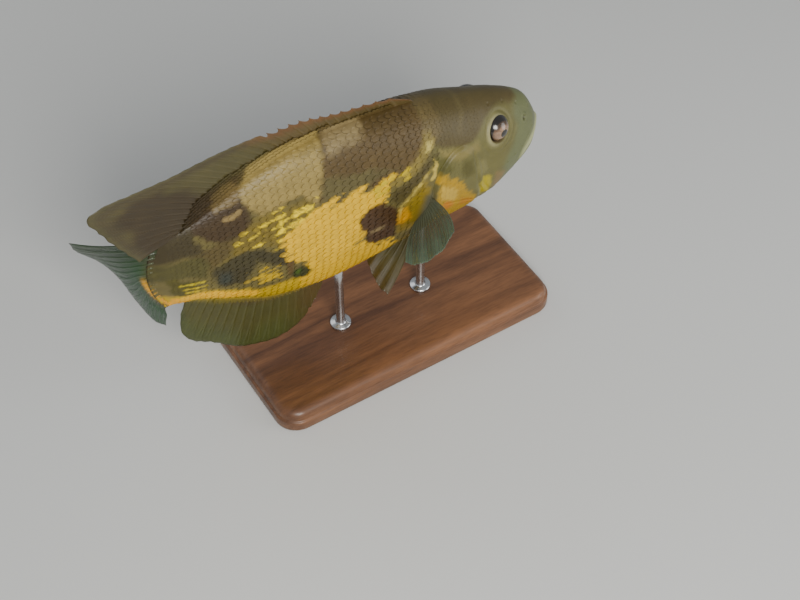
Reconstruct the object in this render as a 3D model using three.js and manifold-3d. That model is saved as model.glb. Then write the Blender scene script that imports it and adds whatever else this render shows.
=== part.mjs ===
// An adult oscar fish, swimming level with its tail swung to its left, held over a flat base on two rods.
// Millimetres, +Z up, +X towards the snout. The origin is the middle of the base's underside.

import * as THREE from 'three';
import { mergeVertices } from 'three/addons/utils/BufferGeometryUtils.js';
import Module from 'manifold-3d';

const wasm = await Module();
wasm.setup();

// Driving sizes
const standardLength = 240; // snout tip to the end of the tail stalk
const midlineHeight = 118; // the fish's midline above the floor
const snoutX = 104;
const touchGap = 0.3; // between pieces that touch
const tailSwing = 0.022; // sideways shift of the tail stalk's end, as a share of the length
const swingStart = 0.5; // where along the body the swing starts
const swingPower = 2.4;
const sidesAround = 32; // faces round the body

// Outline of the body. Places and sizes are shares of the standard length, from the snout back.
const backLine = smoothCurve([
  [0, 0.036], [0.04, 0.093], [0.1, 0.132], [0.19, 0.169], [0.3, 0.205], [0.43, 0.229],
  [0.56, 0.237], [0.66, 0.229], [0.76, 0.199], [0.86, 0.15], [0.93, 0.119], [1, 0.107],
]);
const bellyLine = smoothCurve([
  [0, -0.034], [0.05, -0.073], [0.12, -0.118], [0.2, -0.152], [0.34, -0.186], [0.48, -0.212],
  [0.6, -0.226], [0.72, -0.214], [0.84, -0.165], [0.93, -0.126], [1, -0.114],
]);
const halfWidth = smoothCurve([
  [0, 0.025], [0.04, 0.053], [0.1, 0.08], [0.18, 0.099], [0.28, 0.106], [0.45, 0.101],
  [0.6, 0.083], [0.75, 0.057], [0.88, 0.034], [1, 0.019], [1.04, 0.012],
]);
const backPinch = smoothCurve([ // how much narrower a section is towards the back than towards the belly
  [0, 0], [0.06, 0.12], [0.17, 0.11], [0.3, -0.1], [0.45, -0.12], [0.62, -0.08], [0.8, 0], [1, 0],
]);
const noseHeight = -0.004; // of the snout tip, on the midline
const noseRun = 0.055; // length over which the snout rounds off
const gillOpening = smoothCurve([ // where the head ends, by height from -1 at the belly to 1 at the back
  [-1, 0.245], [-0.75, 0.28], [-0.45, 0.315], [-0.1, 0.336],
  [0.15, 0.338], [0.4, 0.324], [0.6, 0.302], [1, 0.295],
]);
const stalkStart = 0.8;
const stalkRound = 0.03; // bulge of the stalk's end, where the tail fin is rooted

// Head
const mouthDrop = 0.05; // fall of the mouth line from the snout tip to its corner
const mouthBend = 1.3; // how late the mouth line turns down
const mouthRun = 0.088;
const jawHinge = 0.112;
const jawDepth = 0.072; // of the hinge's upper end below the midline
const lip = { radius: 2.3, end: 1.25, apart: 2.1, steps: 9 }; // end is the radius at the mouth's corner
const eyeAt = { along: 0.163, height: 0.09 };
const eyeRadius = 8.4;
const eyeProud = 3.1; // how far the eye stands out of the cheek
const orbit = { rim: 1.5, clear: 0.6, sink: 0.4, steps: 22 }; // the raised ring round the eye
const nostrilAt = { along: 0.074, height: 0.07 };
const nostrilRadius = 1.1;
const coverThickness = 2.6;
const coverProud = 1.1;

// Fins
const membrane = 0.7;
const membraneTip = 0.45;
const rayRidge = 1.9;
const rayRidgeTip = 0.8;
const rayFoot = 0.24; // half width of a ray's ridge, as a share of the space between rays
const finSink = 0.014; // depth of a fin's root in the body before it is cut back
const finBow = 0.18; // how far a middle fin's rays bow outwards

// Stand
const base = { length: 190, width: 96, height: 14, corner: 14, bevel: 2 };
const rodRadius = 2.6;
const rodSink = 5;
const rodPlaces = { front: 0.325, rear: 0.56 };

const scaleOf = share => share * standardLength;
const mix = THREE.MathUtils.lerp;
const clamp = THREE.MathUtils.clamp;
const smooth = THREE.MathUtils.smoothstep;

// A smooth curve through points given as [place, value], with no overshoot between them.
function smoothCurve(knots) {
  const rise = knots.slice(1).map(([x, y], i) => (y - knots[i][1]) / (x - knots[i][0]));
  const slope = knots.map((_, i) => {
    if (i === 0) return rise[0];
    if (i === knots.length - 1) return rise[i - 1];
    const [a, b] = [rise[i - 1], rise[i]];
    return a * b <= 0 ? 0 : (2 * a * b) / (a + b);
  });
  return x => {
    const last = knots.length - 2;
    let i = knots.findIndex(([at]) => at > x) - 1;
    if (i < 0) i = x < knots[0][0] ? 0 : last;
    const [[x0, y0], [x1, y1]] = [knots[i], knots[i + 1]];
    const run = x1 - x0;
    const t = clamp((x - x0) / run, 0, 1);
    const [t2, t3] = [t * t, t * t * t];
    return (2 * t3 - 3 * t2 + 1) * y0 + (t3 - 2 * t2 + t) * run * slope[i]
      + (3 * t2 - 2 * t3) * y1 + (t3 - t2) * run * slope[i + 1];
  };
}

// A point from its share along the body, its distance to the fish's left, and its height above the midline.
function place(along, left, height) {
  const past = Math.max(0, along - swingStart) / (1 - swingStart);
  const shift = tailSwing * past ** swingPower;
  const turn = Math.atan((tailSwing * swingPower * past ** (swingPower - 1)) / (1 - swingStart));
  return new THREE.Vector3(
    snoutX - scaleOf(along) + left * Math.sin(turn),
    scaleOf(shift) + left * Math.cos(turn),
    midlineHeight + height,
  );
}

// The body's section at a share along it: its top, bottom and half width in millimetres.
const stalkEnd = height => 1 + stalkRound * (1 - height * height);

function sectionAt(along) {
  const t = clamp(along / noseRun, 0, 1);
  const round = Math.sqrt(1 - (1 - t) ** 2);
  const size = (line) => scaleOf(noseHeight + (line(along) - noseHeight) * round);
  return { top: size(backLine), bottom: size(bellyLine), half: scaleOf(halfWidth(along)) * round };
}

// A point of the body's skin. The angle runs from 0 at the back, by the left flank, to pi at the belly.
function skinPoint(along, angle, grow = 0) {
  const { top, bottom, half } = sectionAt(along);
  const middle = (top + bottom) / 2;
  const tall = (top - bottom) / 2 + grow;
  const height = Math.cos(angle);
  const left = (half + grow) * Math.sin(angle) * (1 - backPinch(along) * height);
  return place(along, left, middle + tall * height);
}

// The body's half width at a share along it and a height above the midline, both as shares of the length.
function flankAt(along, height) {
  const { top, bottom, half } = sectionAt(along);
  const t = clamp((scaleOf(height) - (top + bottom) / 2) / ((top - bottom) / 2), -1, 1);
  return half * Math.sqrt(1 - t * t) * (1 - backPinch(along) * t);
}

// A closed solid from shared points and triangles, with its faces turned outwards.
function solidFrom(points, triangles) {
  const facing = triangles.reduce((sum, [a, b, c]) => {
    return sum + points[a].dot(new THREE.Vector3().crossVectors(points[b], points[c]));
  }, 0);
  const turned = facing < 0 ? triangles.map(([a, b, c]) => [a, c, b]) : triangles;
  return new wasm.Manifold(new wasm.Mesh({
    numProp: 3,
    vertProperties: new Float32Array(points.flatMap(p => p.toArray())),
    triVerts: new Uint32Array(turned.flat()),
  }));
}

// The solid of a three.js geometry, with its doubled vertices merged.
function solidOf(geometry) {
  geometry.deleteAttribute('normal');
  geometry.deleteAttribute('uv');
  const merged = mergeVertices(geometry, 1e-4);
  return new wasm.Manifold(new wasm.Mesh({
    numProp: 3,
    vertProperties: merged.attributes.position.array,
    triVerts: new Uint32Array(merged.index.array),
  }));
}

function largestOf(solid) {
  return solid.decompose().reduce((a, b) => (b.volume() > a.volume() ? b : a));
}

// A solid through closed rings of points, closed at each end by a fan of triangles.
function loft(rings) {
  const points = rings.flat();
  const around = rings[0].length;
  const triangles = [];
  for (let r = 0; r < rings.length - 1; r++) {
    for (let j = 0; j < around; j++) {
      const [a, b] = [r * around + j, r * around + (j + 1) % around];
      triangles.push([a, b, b + around], [a, b + around, a + around]);
    }
  }
  [0, rings.length - 1].forEach(end => {
    const middle = rings[end].reduce((sum, p) => sum.add(p), new THREE.Vector3());
    const centre = points.push(middle.divideScalar(around)) - 1;
    for (let j = 0; j < around; j++) {
      const [a, b] = [end * around + j, end * around + (j + 1) % around];
      triangles.push(end ? [a, b, centre] : [b, a, centre]);
    }
  });
  return solidFrom(points, triangles);
}

// A stretch of the body between two edges, each a function of the height, from -1 at the belly to 1
// at the back.
function bodyStretch({ from, to, rings, grow = 0, bunch = 1 }) {
  return loft(Array.from({ length: rings + 1 }, (_, r) => {
    const share = (r / rings) ** bunch;
    return Array.from({ length: sidesAround }, (_, j) => {
      const angle = (j / sidesAround) * 2 * Math.PI;
      const height = Math.cos(angle);
      return skinPoint(mix(from(height), to(height), share), angle, grow);
    });
  }));
}

const noseTip = () => 0.0004; // just short of the point where the sections close
const wholeBody = grow => bodyStretch({
  from: () => (grow > 0 ? -grow / standardLength : noseTip()),
  to: height => stalkEnd(height) + grow / standardLength,
  rings: 32, bunch: 1.3, grow,
});

// A ring of points round a point of a tube, square to the tube's run.
function tubeRing(point, along, upright, radius, sides) {
  const side = upright.clone().cross(along).normalize();
  const up = along.clone().cross(side).normalize();
  return Array.from({ length: sides }, (_, j) => {
    const angle = (j / sides) * 2 * Math.PI;
    const [aside, above] = [radius * Math.cos(angle), radius * Math.sin(angle)];
    return point.clone().addScaledVector(side, aside).addScaledVector(up, above);
  });
}

// A tube through points, with a radius at each of them.
function tube(points, radii, sides = 8) {
  const upright = new THREE.Vector3(0, 0, 1);
  return loft(points.map((point, i) => {
    const ahead = points[Math.min(i + 1, points.length - 1)];
    const along = ahead.clone().sub(points[Math.max(i - 1, 0)]).normalize();
    return tubeRing(point, along, upright, radii[i], sides);
  }));
}

// A closed hoop through points round an axis.
function hoop(points, axis, radius, sides = 6) {
  const count = points.length;
  const rings = points.map((point, i) => {
    const along = points[(i + 1) % count].clone().sub(points[(i + count - 1) % count]).normalize();
    return tubeRing(point, along, axis, radius, sides);
  });
  const triangles = [];
  for (let i = 0; i < count; i++) {
    const [here, next] = [i * sides, ((i + 1) % count) * sides];
    for (let j = 0; j < sides; j++) {
      const k = (j + 1) % sides;
      triangles.push([here + j, here + k, next + k], [here + j, next + k, next + j]);
    }
  }
  return solidFrom(rings.flat(), triangles);
}

// A prism across the fish from a closed side outline of [along, height] shares.
function sidePrism(outline, halfDepth = 60) {
  const shape = new THREE.Shape(outline.map(([along, height]) => {
    return new THREE.Vector2(snoutX - scaleOf(along), midlineHeight + scaleOf(height));
  }));
  const prism = new THREE.ExtrudeGeometry(shape, { depth: 2 * halfDepth, bevelEnabled: false });
  prism.rotateX(Math.PI / 2).translate(0, halfDepth, 0);
  return solidOf(prism);
}

// The mouth line in side view, and the points of a lip along it from one corner round the snout to the other.
const mouthLine = along => noseHeight - mouthDrop * Math.max(0, along / mouthRun) ** mouthBend;

function makeLip(side) {
  const lipStart = 0.004;
  const points = [];
  const radii = [];
  for (let i = -lip.steps; i <= lip.steps; i++) {
    const share = Math.abs(i) / lip.steps;
    const along = mix(lipStart, mouthRun, share ** 1.5);
    const height = mouthLine(along) + (side * lip.apart) / standardLength;
    const out = Math.sign(i) * flankAt(along, height) * mix(1, 0.95, share);
    points.push(place(along, i === 0 ? 0 : out, scaleOf(height)));
    radii.push(mix(lip.radius, lip.end, share ** 2));
  }
  return tube(points, radii);
}

// Everything below the mouth line and in front of the jaw's hinge.
function jawPrism(grow) {
  const [ahead, below, steps] = [-0.04, -0.2, 8];
  const edge = Array.from({ length: steps }, (_, i) => mix(ahead, mouthRun + 0.012, i / (steps - 1)));
  const line = edge.map(along => [along, mouthLine(along) + grow / standardLength]);
  const hinge = jawHinge + grow / standardLength;
  return sidePrism([...line, [hinge, -jawDepth], [hinge - 0.004, below], [ahead, below]]);
}

const coverOutline = [
  [0.238, 0.088], [0.27, 0.106], [0.304, 0.1], [0.338, 0.064], [0.354, 0.01], [0.348, -0.046],
  [0.323, -0.1], [0.286, -0.133], [0.25, -0.143], [0.222, -0.118], [0.212, -0.062], [0.216, 0.012],
];

// The outline through a few corners, rounded and grown about its middle by a distance in millimetres.
function roundedOutline(corners, grow = 0) {
  const loop = new THREE.CatmullRomCurve3(corners.map(([a, h]) => new THREE.Vector3(a, h, 0)), true);
  const points = loop.getPoints(corners.length * 2).slice(0, -1);
  const middle = points.reduce((sum, p) => sum.add(p), new THREE.Vector3()).divideScalar(points.length);
  return points.map(p => {
    const out = p.clone().sub(middle).setLength(grow / standardLength);
    return [p.x + out.x, p.y + out.y];
  });
}

function eyePlace(side) {
  const { along, height } = eyeAt;
  const out = flankAt(along, height) + eyeProud - eyeRadius;
  return place(along, side * out, scaleOf(height));
}

const ball = (centre, radius, around = 16) => solidOf(
  new THREE.SphereGeometry(radius, around, around / 2).rotateX(Math.PI / 2).translate(...centre.toArray()),
);

// The raised ring round each eye, lying on the cheek.
function makeOrbit(side) {
  const { along, height } = eyeAt;
  const open = (Math.sqrt(eyeRadius ** 2 - (eyeRadius - eyeProud) ** 2) + orbit.clear) / standardLength;
  const points = Array.from({ length: orbit.steps }, (_, i) => {
    const angle = (i / orbit.steps) * 2 * Math.PI;
    const [a, h] = [along + open * Math.cos(angle), height + open * Math.sin(angle)];
    return place(a, side * (flankAt(a, h) - orbit.sink), scaleOf(h));
  });
  return hoop(points, new THREE.Vector3(0, side, 0), orbit.rim);
}

function makeHead(covers) {
  const flesh = bodyStretch({ from: noseTip, to: gillOpening, rings: 13, bunch: 1.4 });
  const sides = [-1, 1];
  const head = wasm.Manifold.union([flesh, makeLip(1), ...sides.map(makeOrbit)]);
  const nostrils = sides.map(side => {
    const { along, height } = nostrilAt;
    return ball(place(along, side * flankAt(along, height), scaleOf(height)), nostrilRadius, 8);
  });
  const sockets = sides.map(side => ball(eyePlace(side), eyeRadius + touchGap));
  return largestOf(head.subtract(wasm.Manifold.union([
    jawPrism(touchGap), ...nostrils, ...sockets, ...covers,
  ])));
}

const pastJaw = 0.16; // a place behind the jaw's hinge
const makeJaw = () => largestOf(wasm.Manifold.union([
  bodyStretch({ from: noseTip, to: () => pastJaw, rings: 8, bunch: 1.4 }), makeLip(-1),
]).intersect(jawPrism(0)));

// A gill cover's plate on one side, with its rear edge lying over the flank.
function coverShell(side, grow) {
  const [halfDepth, front, back, high, low] = [40, 0.15, 0.45, 0.2, -0.3];
  const half = sidePrism([[front, high], [back, high], [back, low], [front, low]], halfDepth)
    .translate([0, side * (halfDepth + 2), 0]);
  const plate = wholeBody(coverProud + grow).subtract(wholeBody(-coverThickness - grow));
  return plate.intersect(sidePrism(roundedOutline(coverOutline, grow))).intersect(half);
}

// Fins
// A fin's solid: a membrane with a ridge along each ray. point(across, out) gives its middle surface,
// with across from 0 at the first ray to 1 at the last, and out from 0 at the root to 1 at the margin.
function fin({ rays, rows, point, notch = () => 0.03, ridge = rayRidge, skin = membrane }) {
  const columns = [];
  for (let ray = 0; ray < rays; ray++) {
    for (const side of [-1, 0, 1]) {
      const across = (ray + side * rayFoot) / (rays - 1);
      if (across >= 0 && across <= 1) columns.push({ across, isRay: side === 0 });
    }
  }
  const half = columns.length * (rows + 1);
  const index = (column, row) => column * (rows + 1) + row;
  const faces = [[], []];
  for (const { across, isRay } of columns) {
    for (let row = 0; row <= rows; row++) {
      const out = (row / rows) * (isRay ? 1 : 1 - notch(across));
      const middle = point(across, out);
      const step = 0.004;
      const [a0, a1] = [Math.max(0, across - step), Math.min(1, across + step)];
      const alongFin = point(a1, out).sub(point(a0, out));
      const outwards = point(across, out + step).sub(point(across, Math.max(0, out - step)));
      const normal = alongFin.cross(outwards).normalize();
      const thick = isRay ? mix(ridge, rayRidgeTip, out) : mix(skin, membraneTip, out);
      faces[0].push(middle.clone().addScaledVector(normal, thick / 2));
      faces[1].push(middle.clone().addScaledVector(normal, -thick / 2));
    }
  }
  const triangles = [];
  const quad = (a, b, c, d) => triangles.push([a, b, c], [a, c, d]);
  for (let c = 0; c < columns.length - 1; c++) {
    for (let r = 0; r < rows; r++) {
      const [p, q, s, t] = [index(c, r), index(c + 1, r), index(c + 1, r + 1), index(c, r + 1)];
      quad(p, q, s, t);
      triangles.push([half + p, half + s, half + q], [half + p, half + t, half + s]);
    }
  }
  const rim = [];
  for (let c = 0; c < columns.length; c++) rim.push(index(c, 0));
  for (let r = 1; r <= rows; r++) rim.push(index(columns.length - 1, r));
  for (let c = columns.length - 2; c >= 0; c--) rim.push(index(c, rows));
  for (let r = rows - 1; r > 0; r--) rim.push(index(0, r));
  rim.forEach((a, i) => {
    const b = rim[(i + 1) % rim.length];
    quad(b, a, half + a, half + b);
  });
  return solidFrom(faces.flat(), triangles);
}

// The dorsal fin's lobe trails to the fish's right.
const dorsal = { spines: 13, soft: 14, from: 0.335, to: 0.93, lean: 0.05 };
const dorsalMargin = marginCurve([
  [0.36, 0.224], [0.403, 0.25], [0.455, 0.264], [0.556, 0.281], [0.653, 0.303], [0.74, 0.305], [0.84, 0.297],
  [0.93, 0.294], [1.03, 0.3], [1.105, 0.298], [1.14, 0.278], [1.122, 0.235], [1.09, 0.175], [1.048, 0.108],
]);
const anal = { spines: 3, soft: 12, from: 0.598, to: 0.95, lean: 0 };
const analMargin = marginCurve([
  [0.613, -0.27], [0.64, -0.322], [0.69, -0.366], [0.755, -0.377], [0.84, -0.346],
  [0.91, -0.296], [0.956, -0.252], [0.972, -0.22], [0.966, -0.163],
]);

// A smooth plane curve through points, taken by a share from 0 to 1 of its length.
function marginCurve(corners) {
  const points = corners.map(([a, h]) => new THREE.Vector3(a, h, 0));
  const curve = new THREE.CatmullRomCurve3(points, false, 'centripetal');
  return share => curve.getPointAt(clamp(share, 0, 1));
}

// A middle fin between its root on the body's edge and its margin. Its tail end leans to the fish's right.
function middleFin({ spines, soft, from, to, lean }, edge, margin, sign, marginShare) {
  const rays = spines + soft;
  const point = (across, out) => {
    const rootAlong = mix(from, to, across);
    const root = new THREE.Vector2(rootAlong, edge(rootAlong) - sign * finSink);
    const tip = margin(marginShare(across));
    const along = mix(root.x, tip.x, out);
    const height = mix(root.y, tip.y, 1 - (1 - out) * (1 - finBow * out));
    const aside = -scaleOf(lean) * out ** 1.3 * smooth(across, 0.55, 1);
    return place(along, aside, scaleOf(height));
  };
  const notch = across => (across * (rays - 1) < spines - 0.5 ? 0.14 : 0.02);
  return fin({ rays, rows: 4, point, notch });
}

const dorsalShare = across => across * 0.62 + 0.38 * across ** 3;
const analShare = across => across;

// The tail fin is cupped: its lower rays swing further to the fish's left than its upper ones.
// Angles are in radians, given from the lowest ray to the highest.
const caudal = {
  rays: 16,
  rootShare: 0.94, // of the stalk's height
  length: smoothCurve([[0, 0.1], [0.25, 0.125], [0.6, 0.145], [1, 0.184]]),
  lift: smoothCurve([[0, -1.28], [0.25, -1.12], [0.6, -0.61], [1, 0.08]]),
  swing: smoothCurve([[0, 0.75], [0.5, 0.67], [1, 0.17]]),
  curl: smoothCurve([[0, 1], [0.5, 1], [1, 0.35]]),
};
function caudalPoint(across, out) {
  const t = 2 * across - 1;
  const stalk = sectionAt(1);
  const rootHeight = mix(stalk.bottom, stalk.top, across) * caudal.rootShare;
  const rootAlong = stalkEnd(t) - finSink;
  const lift = caudal.lift(across) * smooth(out, -0.3, 0.5);
  const steps = 8;
  const step = (scaleOf(caudal.length(across) + finSink) * out) / steps;
  let [back, left] = [0, 0];
  for (let i = 0; i < steps; i++) {
    const share = ((i + 0.5) / steps) * out;
    const turn = caudal.swing(across) * smooth(share, 0, 0.2) + caudal.curl(across) * share;
    back += step * Math.cos(turn);
    left += step * Math.sin(turn);
  }
  const reach = step * steps;
  return place(
    rootAlong + (back * Math.cos(lift)) / standardLength,
    left * Math.cos(lift),
    rootHeight + reach * Math.sin(lift),
  );
}

// A paired fin from a short root line on the body. Its rays flare apart near the root, and then run side
// by side. Directions are [back, out, down] for the side that the fin is on.
function pairedFin({ rays, rows, root, reach, aim, across: acrossAim, half, flare, cup, ridge, side }) {
  const vector = ([back, out, down]) => new THREE.Vector3(-back, side * out, -down).normalize();
  const main = vector(aim);
  const wide = vector(acrossAim).projectOnPlane(main).normalize();
  const face = main.clone().cross(wide);
  const point = (across, out) => {
    const along = mix(root.from[0], root.to[0], across);
    const height = mix(root.from[1], root.to[1], across);
    const start = place(along, side * (flankAt(along, height) - scaleOf(finSink)), scaleOf(height));
    const length = scaleOf(reach(across) + finSink) * out;
    const aside = scaleOf(half) * (2 * across - 1) * (1 - Math.max(0, 1 - out) ** flare);
    return start.addScaledVector(main, length).addScaledVector(wide, aside)
      .addScaledVector(face, scaleOf(cup) * out * out);
  };
  return fin({ rays, rows, point, ridge, notch: () => 0.03 });
}

const pectoral = side => pairedFin({
  rays: 11, rows: 5, side, root: { from: [0.366, -0.004], to: [0.378, -0.064] },
  reach: across => 0.137 * (1 - 0.22 * Math.abs(2 * across - 1) ** 2.5),
  aim: [0.385, 0.927, 0.258], across: [0.616, -0.45, 0.362],
  half: 0.052, flare: 2.2, cup: 0.018 * side, ridge: 1.5,
});
const pelvic = side => pairedFin({
  rays: 6, rows: 6, side, root: { from: [0.352, -0.176], to: [0.398, -0.19] },
  reach: across => 0.168 - 0.094 * across ** 1.33,
  aim: [0.968, 0.362, 0.44], across: [0.3, -0.497, -0.312],
  half: 0.036, flare: 1.7, cup: 0.008 * side, ridge: 1.6,
});

// Stand
function makeBase() {
  const { length, width, height, corner, bevel } = base;
  const [x, y] = [length / 2 - bevel, width / 2 - bevel];
  const shape = new THREE.Shape();
  shape.moveTo(-x + corner, -y).lineTo(x - corner, -y).quadraticCurveTo(x, -y, x, -y + corner);
  shape.lineTo(x, y - corner).quadraticCurveTo(x, y, x - corner, y);
  shape.lineTo(-x + corner, y).quadraticCurveTo(-x, y, -x, y - corner);
  shape.lineTo(-x, -y + corner).quadraticCurveTo(-x, -y, -x + corner, -y);
  const plate = new THREE.ExtrudeGeometry(shape, {
    depth: height - 2 * bevel, bevelThickness: bevel, bevelSize: bevel, bevelSegments: 1, curveSegments: 4,
  }).translate(0, 0, bevel);
  return solidOf(plate);
}

function rodSpan(along) {
  const belly = midlineHeight + sectionAt(along).bottom;
  return { x: snoutX - scaleOf(along), low: base.height + touchGap, high: belly + rodSink };
}

function rod(along, grow = 0) {
  const { x, low, high } = rodSpan(along);
  const y = place(along, 0, 0).y;
  const length = high - low + 2 * grow;
  return solidOf(new THREE.CylinderGeometry(rodRadius + grow, rodRadius + grow, length, 20)
    .rotateX(Math.PI / 2).translate(x, y, (low + high) / 2));
}

// Assembly
const colours = {
  skin: { color: 0x6d5c41, roughness: 0.5, metalness: 0 },
  fin: { color: 0x54452f, roughness: 0.55, metalness: 0 },
  clearFin: { color: 0x7d8271, roughness: 0.5, metalness: 0 },
  eye: { color: 0x2a1c14, roughness: 0.15, metalness: 0 },
  wood: { color: 0x6a4a30, roughness: 0.55, metalness: 0 },
  rod: { color: 0xb9bcc0, roughness: 0.3, metalness: 1 },
};
const materials = Object.fromEntries(
  Object.entries(colours).map(([name, look]) => [name, new THREE.MeshStandardMaterial(look)]),
);

function meshOf(name, solid, look) {
  const { numProp, vertProperties, triVerts } = solid.getMesh();
  const positions = new Float32Array((vertProperties.length / numProp) * 3);
  for (let i = 0; i < positions.length / 3; i++) {
    positions.set(vertProperties.subarray(i * numProp, i * numProp + 3), i * 3);
  }
  const geometry = new THREE.BufferGeometry()
    .setAttribute('position', new THREE.BufferAttribute(positions, 3))
    .setIndex(new THREE.BufferAttribute(triVerts, 1));
  geometry.computeVertexNormals();
  const mesh = new THREE.Mesh(geometry, materials[look]);
  mesh.name = name;
  return mesh;
}

const bodyCutter = wholeBody(touchGap);
const sides = { right: -1, left: 1 };
const covers = Object.values(sides).map(side => coverShell(side, touchGap));
const trunk = bodyStretch({
  from: height => gillOpening(height) + touchGap / standardLength,
  to: () => stalkStart, rings: 13,
});
const trunkCutter = bodyStretch({
  from: gillOpening, to: () => stalkStart, rings: 13, grow: touchGap,
});
const stalk = bodyStretch({
  from: () => stalkStart + touchGap / standardLength, to: stalkEnd, rings: 6,
});
const rodSockets = Object.values(rodPlaces).map(along => rod(along, touchGap));
const cutFin = solid => largestOf(solid.subtract(bodyCutter));

const oscar = new THREE.Group();
oscar.name = 'oscar';
oscar.add(
  meshOf('head', makeHead(covers), 'skin'),
  meshOf('lower_jaw', makeJaw(), 'skin'),
  meshOf('trunk', largestOf(trunk.subtract(wasm.Manifold.union(rodSockets))), 'skin'),
  meshOf('tail_stalk', stalk, 'skin'),
  meshOf('dorsal_fin', cutFin(middleFin(dorsal, backLine, dorsalMargin, 1, dorsalShare)), 'fin'),
  meshOf('anal_fin', cutFin(middleFin(anal, bellyLine, analMargin, -1, analShare)), 'fin'),
  meshOf('tail_fin', cutFin(fin({ rays: caudal.rays, rows: 5, point: caudalPoint })), 'clearFin'),
);
for (const [name, side] of Object.entries(sides)) {
  oscar.add(
    meshOf(`eye_${name}`, ball(eyePlace(side), eyeRadius), 'eye'),
    meshOf(`gill_cover_${name}`, largestOf(coverShell(side, 0).subtract(trunkCutter)), 'skin'),
    meshOf(`pectoral_fin_${name}`, cutFin(pectoral(side)), 'clearFin'),
    meshOf(`pelvic_fin_${name}`, cutFin(pelvic(side)), 'fin'),
  );
}
oscar.add(meshOf('stand_base', makeBase(), 'wood'));
for (const [name, along] of Object.entries(rodPlaces)) {
  oscar.add(meshOf(`stand_rod_${name}`, rod(along), 'rod'));
}

export default oscar;
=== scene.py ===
# An adult oscar held over a display base: one skin, its scales, fins and eyes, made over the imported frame.
import math

import bmesh
import bpy
import numpy as np
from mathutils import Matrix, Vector


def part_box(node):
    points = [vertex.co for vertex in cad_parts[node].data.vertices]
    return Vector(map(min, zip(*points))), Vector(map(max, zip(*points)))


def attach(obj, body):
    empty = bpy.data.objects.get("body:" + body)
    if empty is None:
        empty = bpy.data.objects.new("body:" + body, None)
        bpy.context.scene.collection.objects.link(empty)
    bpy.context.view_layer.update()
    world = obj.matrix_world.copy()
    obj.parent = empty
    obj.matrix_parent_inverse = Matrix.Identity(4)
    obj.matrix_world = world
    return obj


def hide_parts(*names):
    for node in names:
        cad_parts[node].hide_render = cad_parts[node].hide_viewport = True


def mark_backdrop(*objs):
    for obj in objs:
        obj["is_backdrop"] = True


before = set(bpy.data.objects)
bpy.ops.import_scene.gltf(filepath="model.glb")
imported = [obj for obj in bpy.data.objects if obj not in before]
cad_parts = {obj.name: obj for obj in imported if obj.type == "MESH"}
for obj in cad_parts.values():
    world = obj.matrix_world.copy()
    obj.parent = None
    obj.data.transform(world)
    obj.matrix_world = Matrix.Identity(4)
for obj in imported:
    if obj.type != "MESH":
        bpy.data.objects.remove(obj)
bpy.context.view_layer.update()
sides = {"right": -1, "left": 1}


# Shared sums

def smoothstep(low, high, x):
    t = np.clip((np.asarray(x, float) - low) / (high - low), 0, 1)
    return t * t * (3 - 2 * t)


def mix(a, b, t):
    return a + (b - a) * t


def over(colour, new, share):  # a colour laid over another, by a share for each point
    return mix(colour, new, np.asarray(share)[:, None])


def hump(x, width):
    return np.exp(-(x / width) ** 2)


def curveThrough(knots):  # a smooth curve through [place, value] points, with no overshoot
    xs, ys = np.array(knots, float).T
    rise = np.diff(ys) / np.diff(xs)
    product = rise[:-1] * rise[1:]
    total = np.where(product > 0, rise[:-1] + rise[1:], 1)
    slope = np.concatenate([rise[:1], np.where(product > 0, 2 * product / total, 0), rise[-1:]])

    def value(x):
        x = np.clip(x, xs[0], xs[-1])
        i = np.clip(np.searchsorted(xs, x, side="right") - 1, 0, len(xs) - 2)
        run = xs[i + 1] - xs[i]
        t = (x - xs[i]) / run
        t2, t3 = t * t, t * t * t
        return ((2 * t3 - 3 * t2 + 1) * ys[i] + (t3 - 2 * t2 + t) * run * slope[i]
                + (3 * t2 - 2 * t3) * ys[i + 1] + (t3 - t2) * run * slope[i + 1])
    return value


def splineThrough(corners):  # a centripetal curve through plane points, taken by a share of its length
    points = np.array(corners, float)
    ends = [2 * points[0] - points[1]], [2 * points[-1] - points[-2]]
    points = np.concatenate([ends[0], points, ends[1]])
    fine = []
    for p0, p1, p2, p3 in zip(points, points[1:], points[2:], points[3:]):
        t1 = np.linalg.norm(p1 - p0) ** 0.5
        t2 = t1 + np.linalg.norm(p2 - p1) ** 0.5
        t3 = t2 + np.linalg.norm(p3 - p2) ** 0.5
        t = np.linspace(t1, t2, 40, endpoint=False)[:, None]
        a1 = (t1 - t) / t1 * p0 + t / t1 * p1
        a2 = (t2 - t) / (t2 - t1) * p1 + (t - t1) / (t2 - t1) * p2
        a3 = (t3 - t) / (t3 - t2) * p2 + (t - t2) / (t3 - t2) * p3
        b1 = (t2 - t) / t2 * a1 + t / t2 * a2
        b2 = (t3 - t) / (t3 - t1) * a2 + (t - t1) / (t3 - t1) * a3
        fine.append((t2 - t) / (t2 - t1) * b1 + (t - t1) / (t2 - t1) * b2)
    fine = np.concatenate(fine + [points[-2:-1]])
    run = np.concatenate([[0], np.cumsum(np.linalg.norm(np.diff(fine, axis=0), axis=1))])

    def at(share):
        share = np.clip(share, 0, 1) * run[-1]
        return np.stack([np.interp(share, run, fine[:, 0]), np.interp(share, run, fine[:, 1])], -1)
    return at


def softNoise(points, cell, seed):  # smooth random values from -1 to 1, on a lattice of that cell
    table = np.random.default_rng(seed).uniform(-1, 1, 4096)
    spot = np.asarray(points, float) / cell
    low = np.floor(spot).astype(np.int64)
    t = spot - low
    t = t * t * (3 - 2 * t)
    total = np.zeros(len(spot))
    for corner in range(8):
        step = np.array([corner & 1, corner >> 1 & 1, corner >> 2 & 1])
        x, y, z = (low + step).T
        index = (x * 73856093 ^ y * 19349663 ^ z * 83492791) % 4096
        total += np.where(step, t, 1 - t).prod(1) * table[index]
    return total


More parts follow.
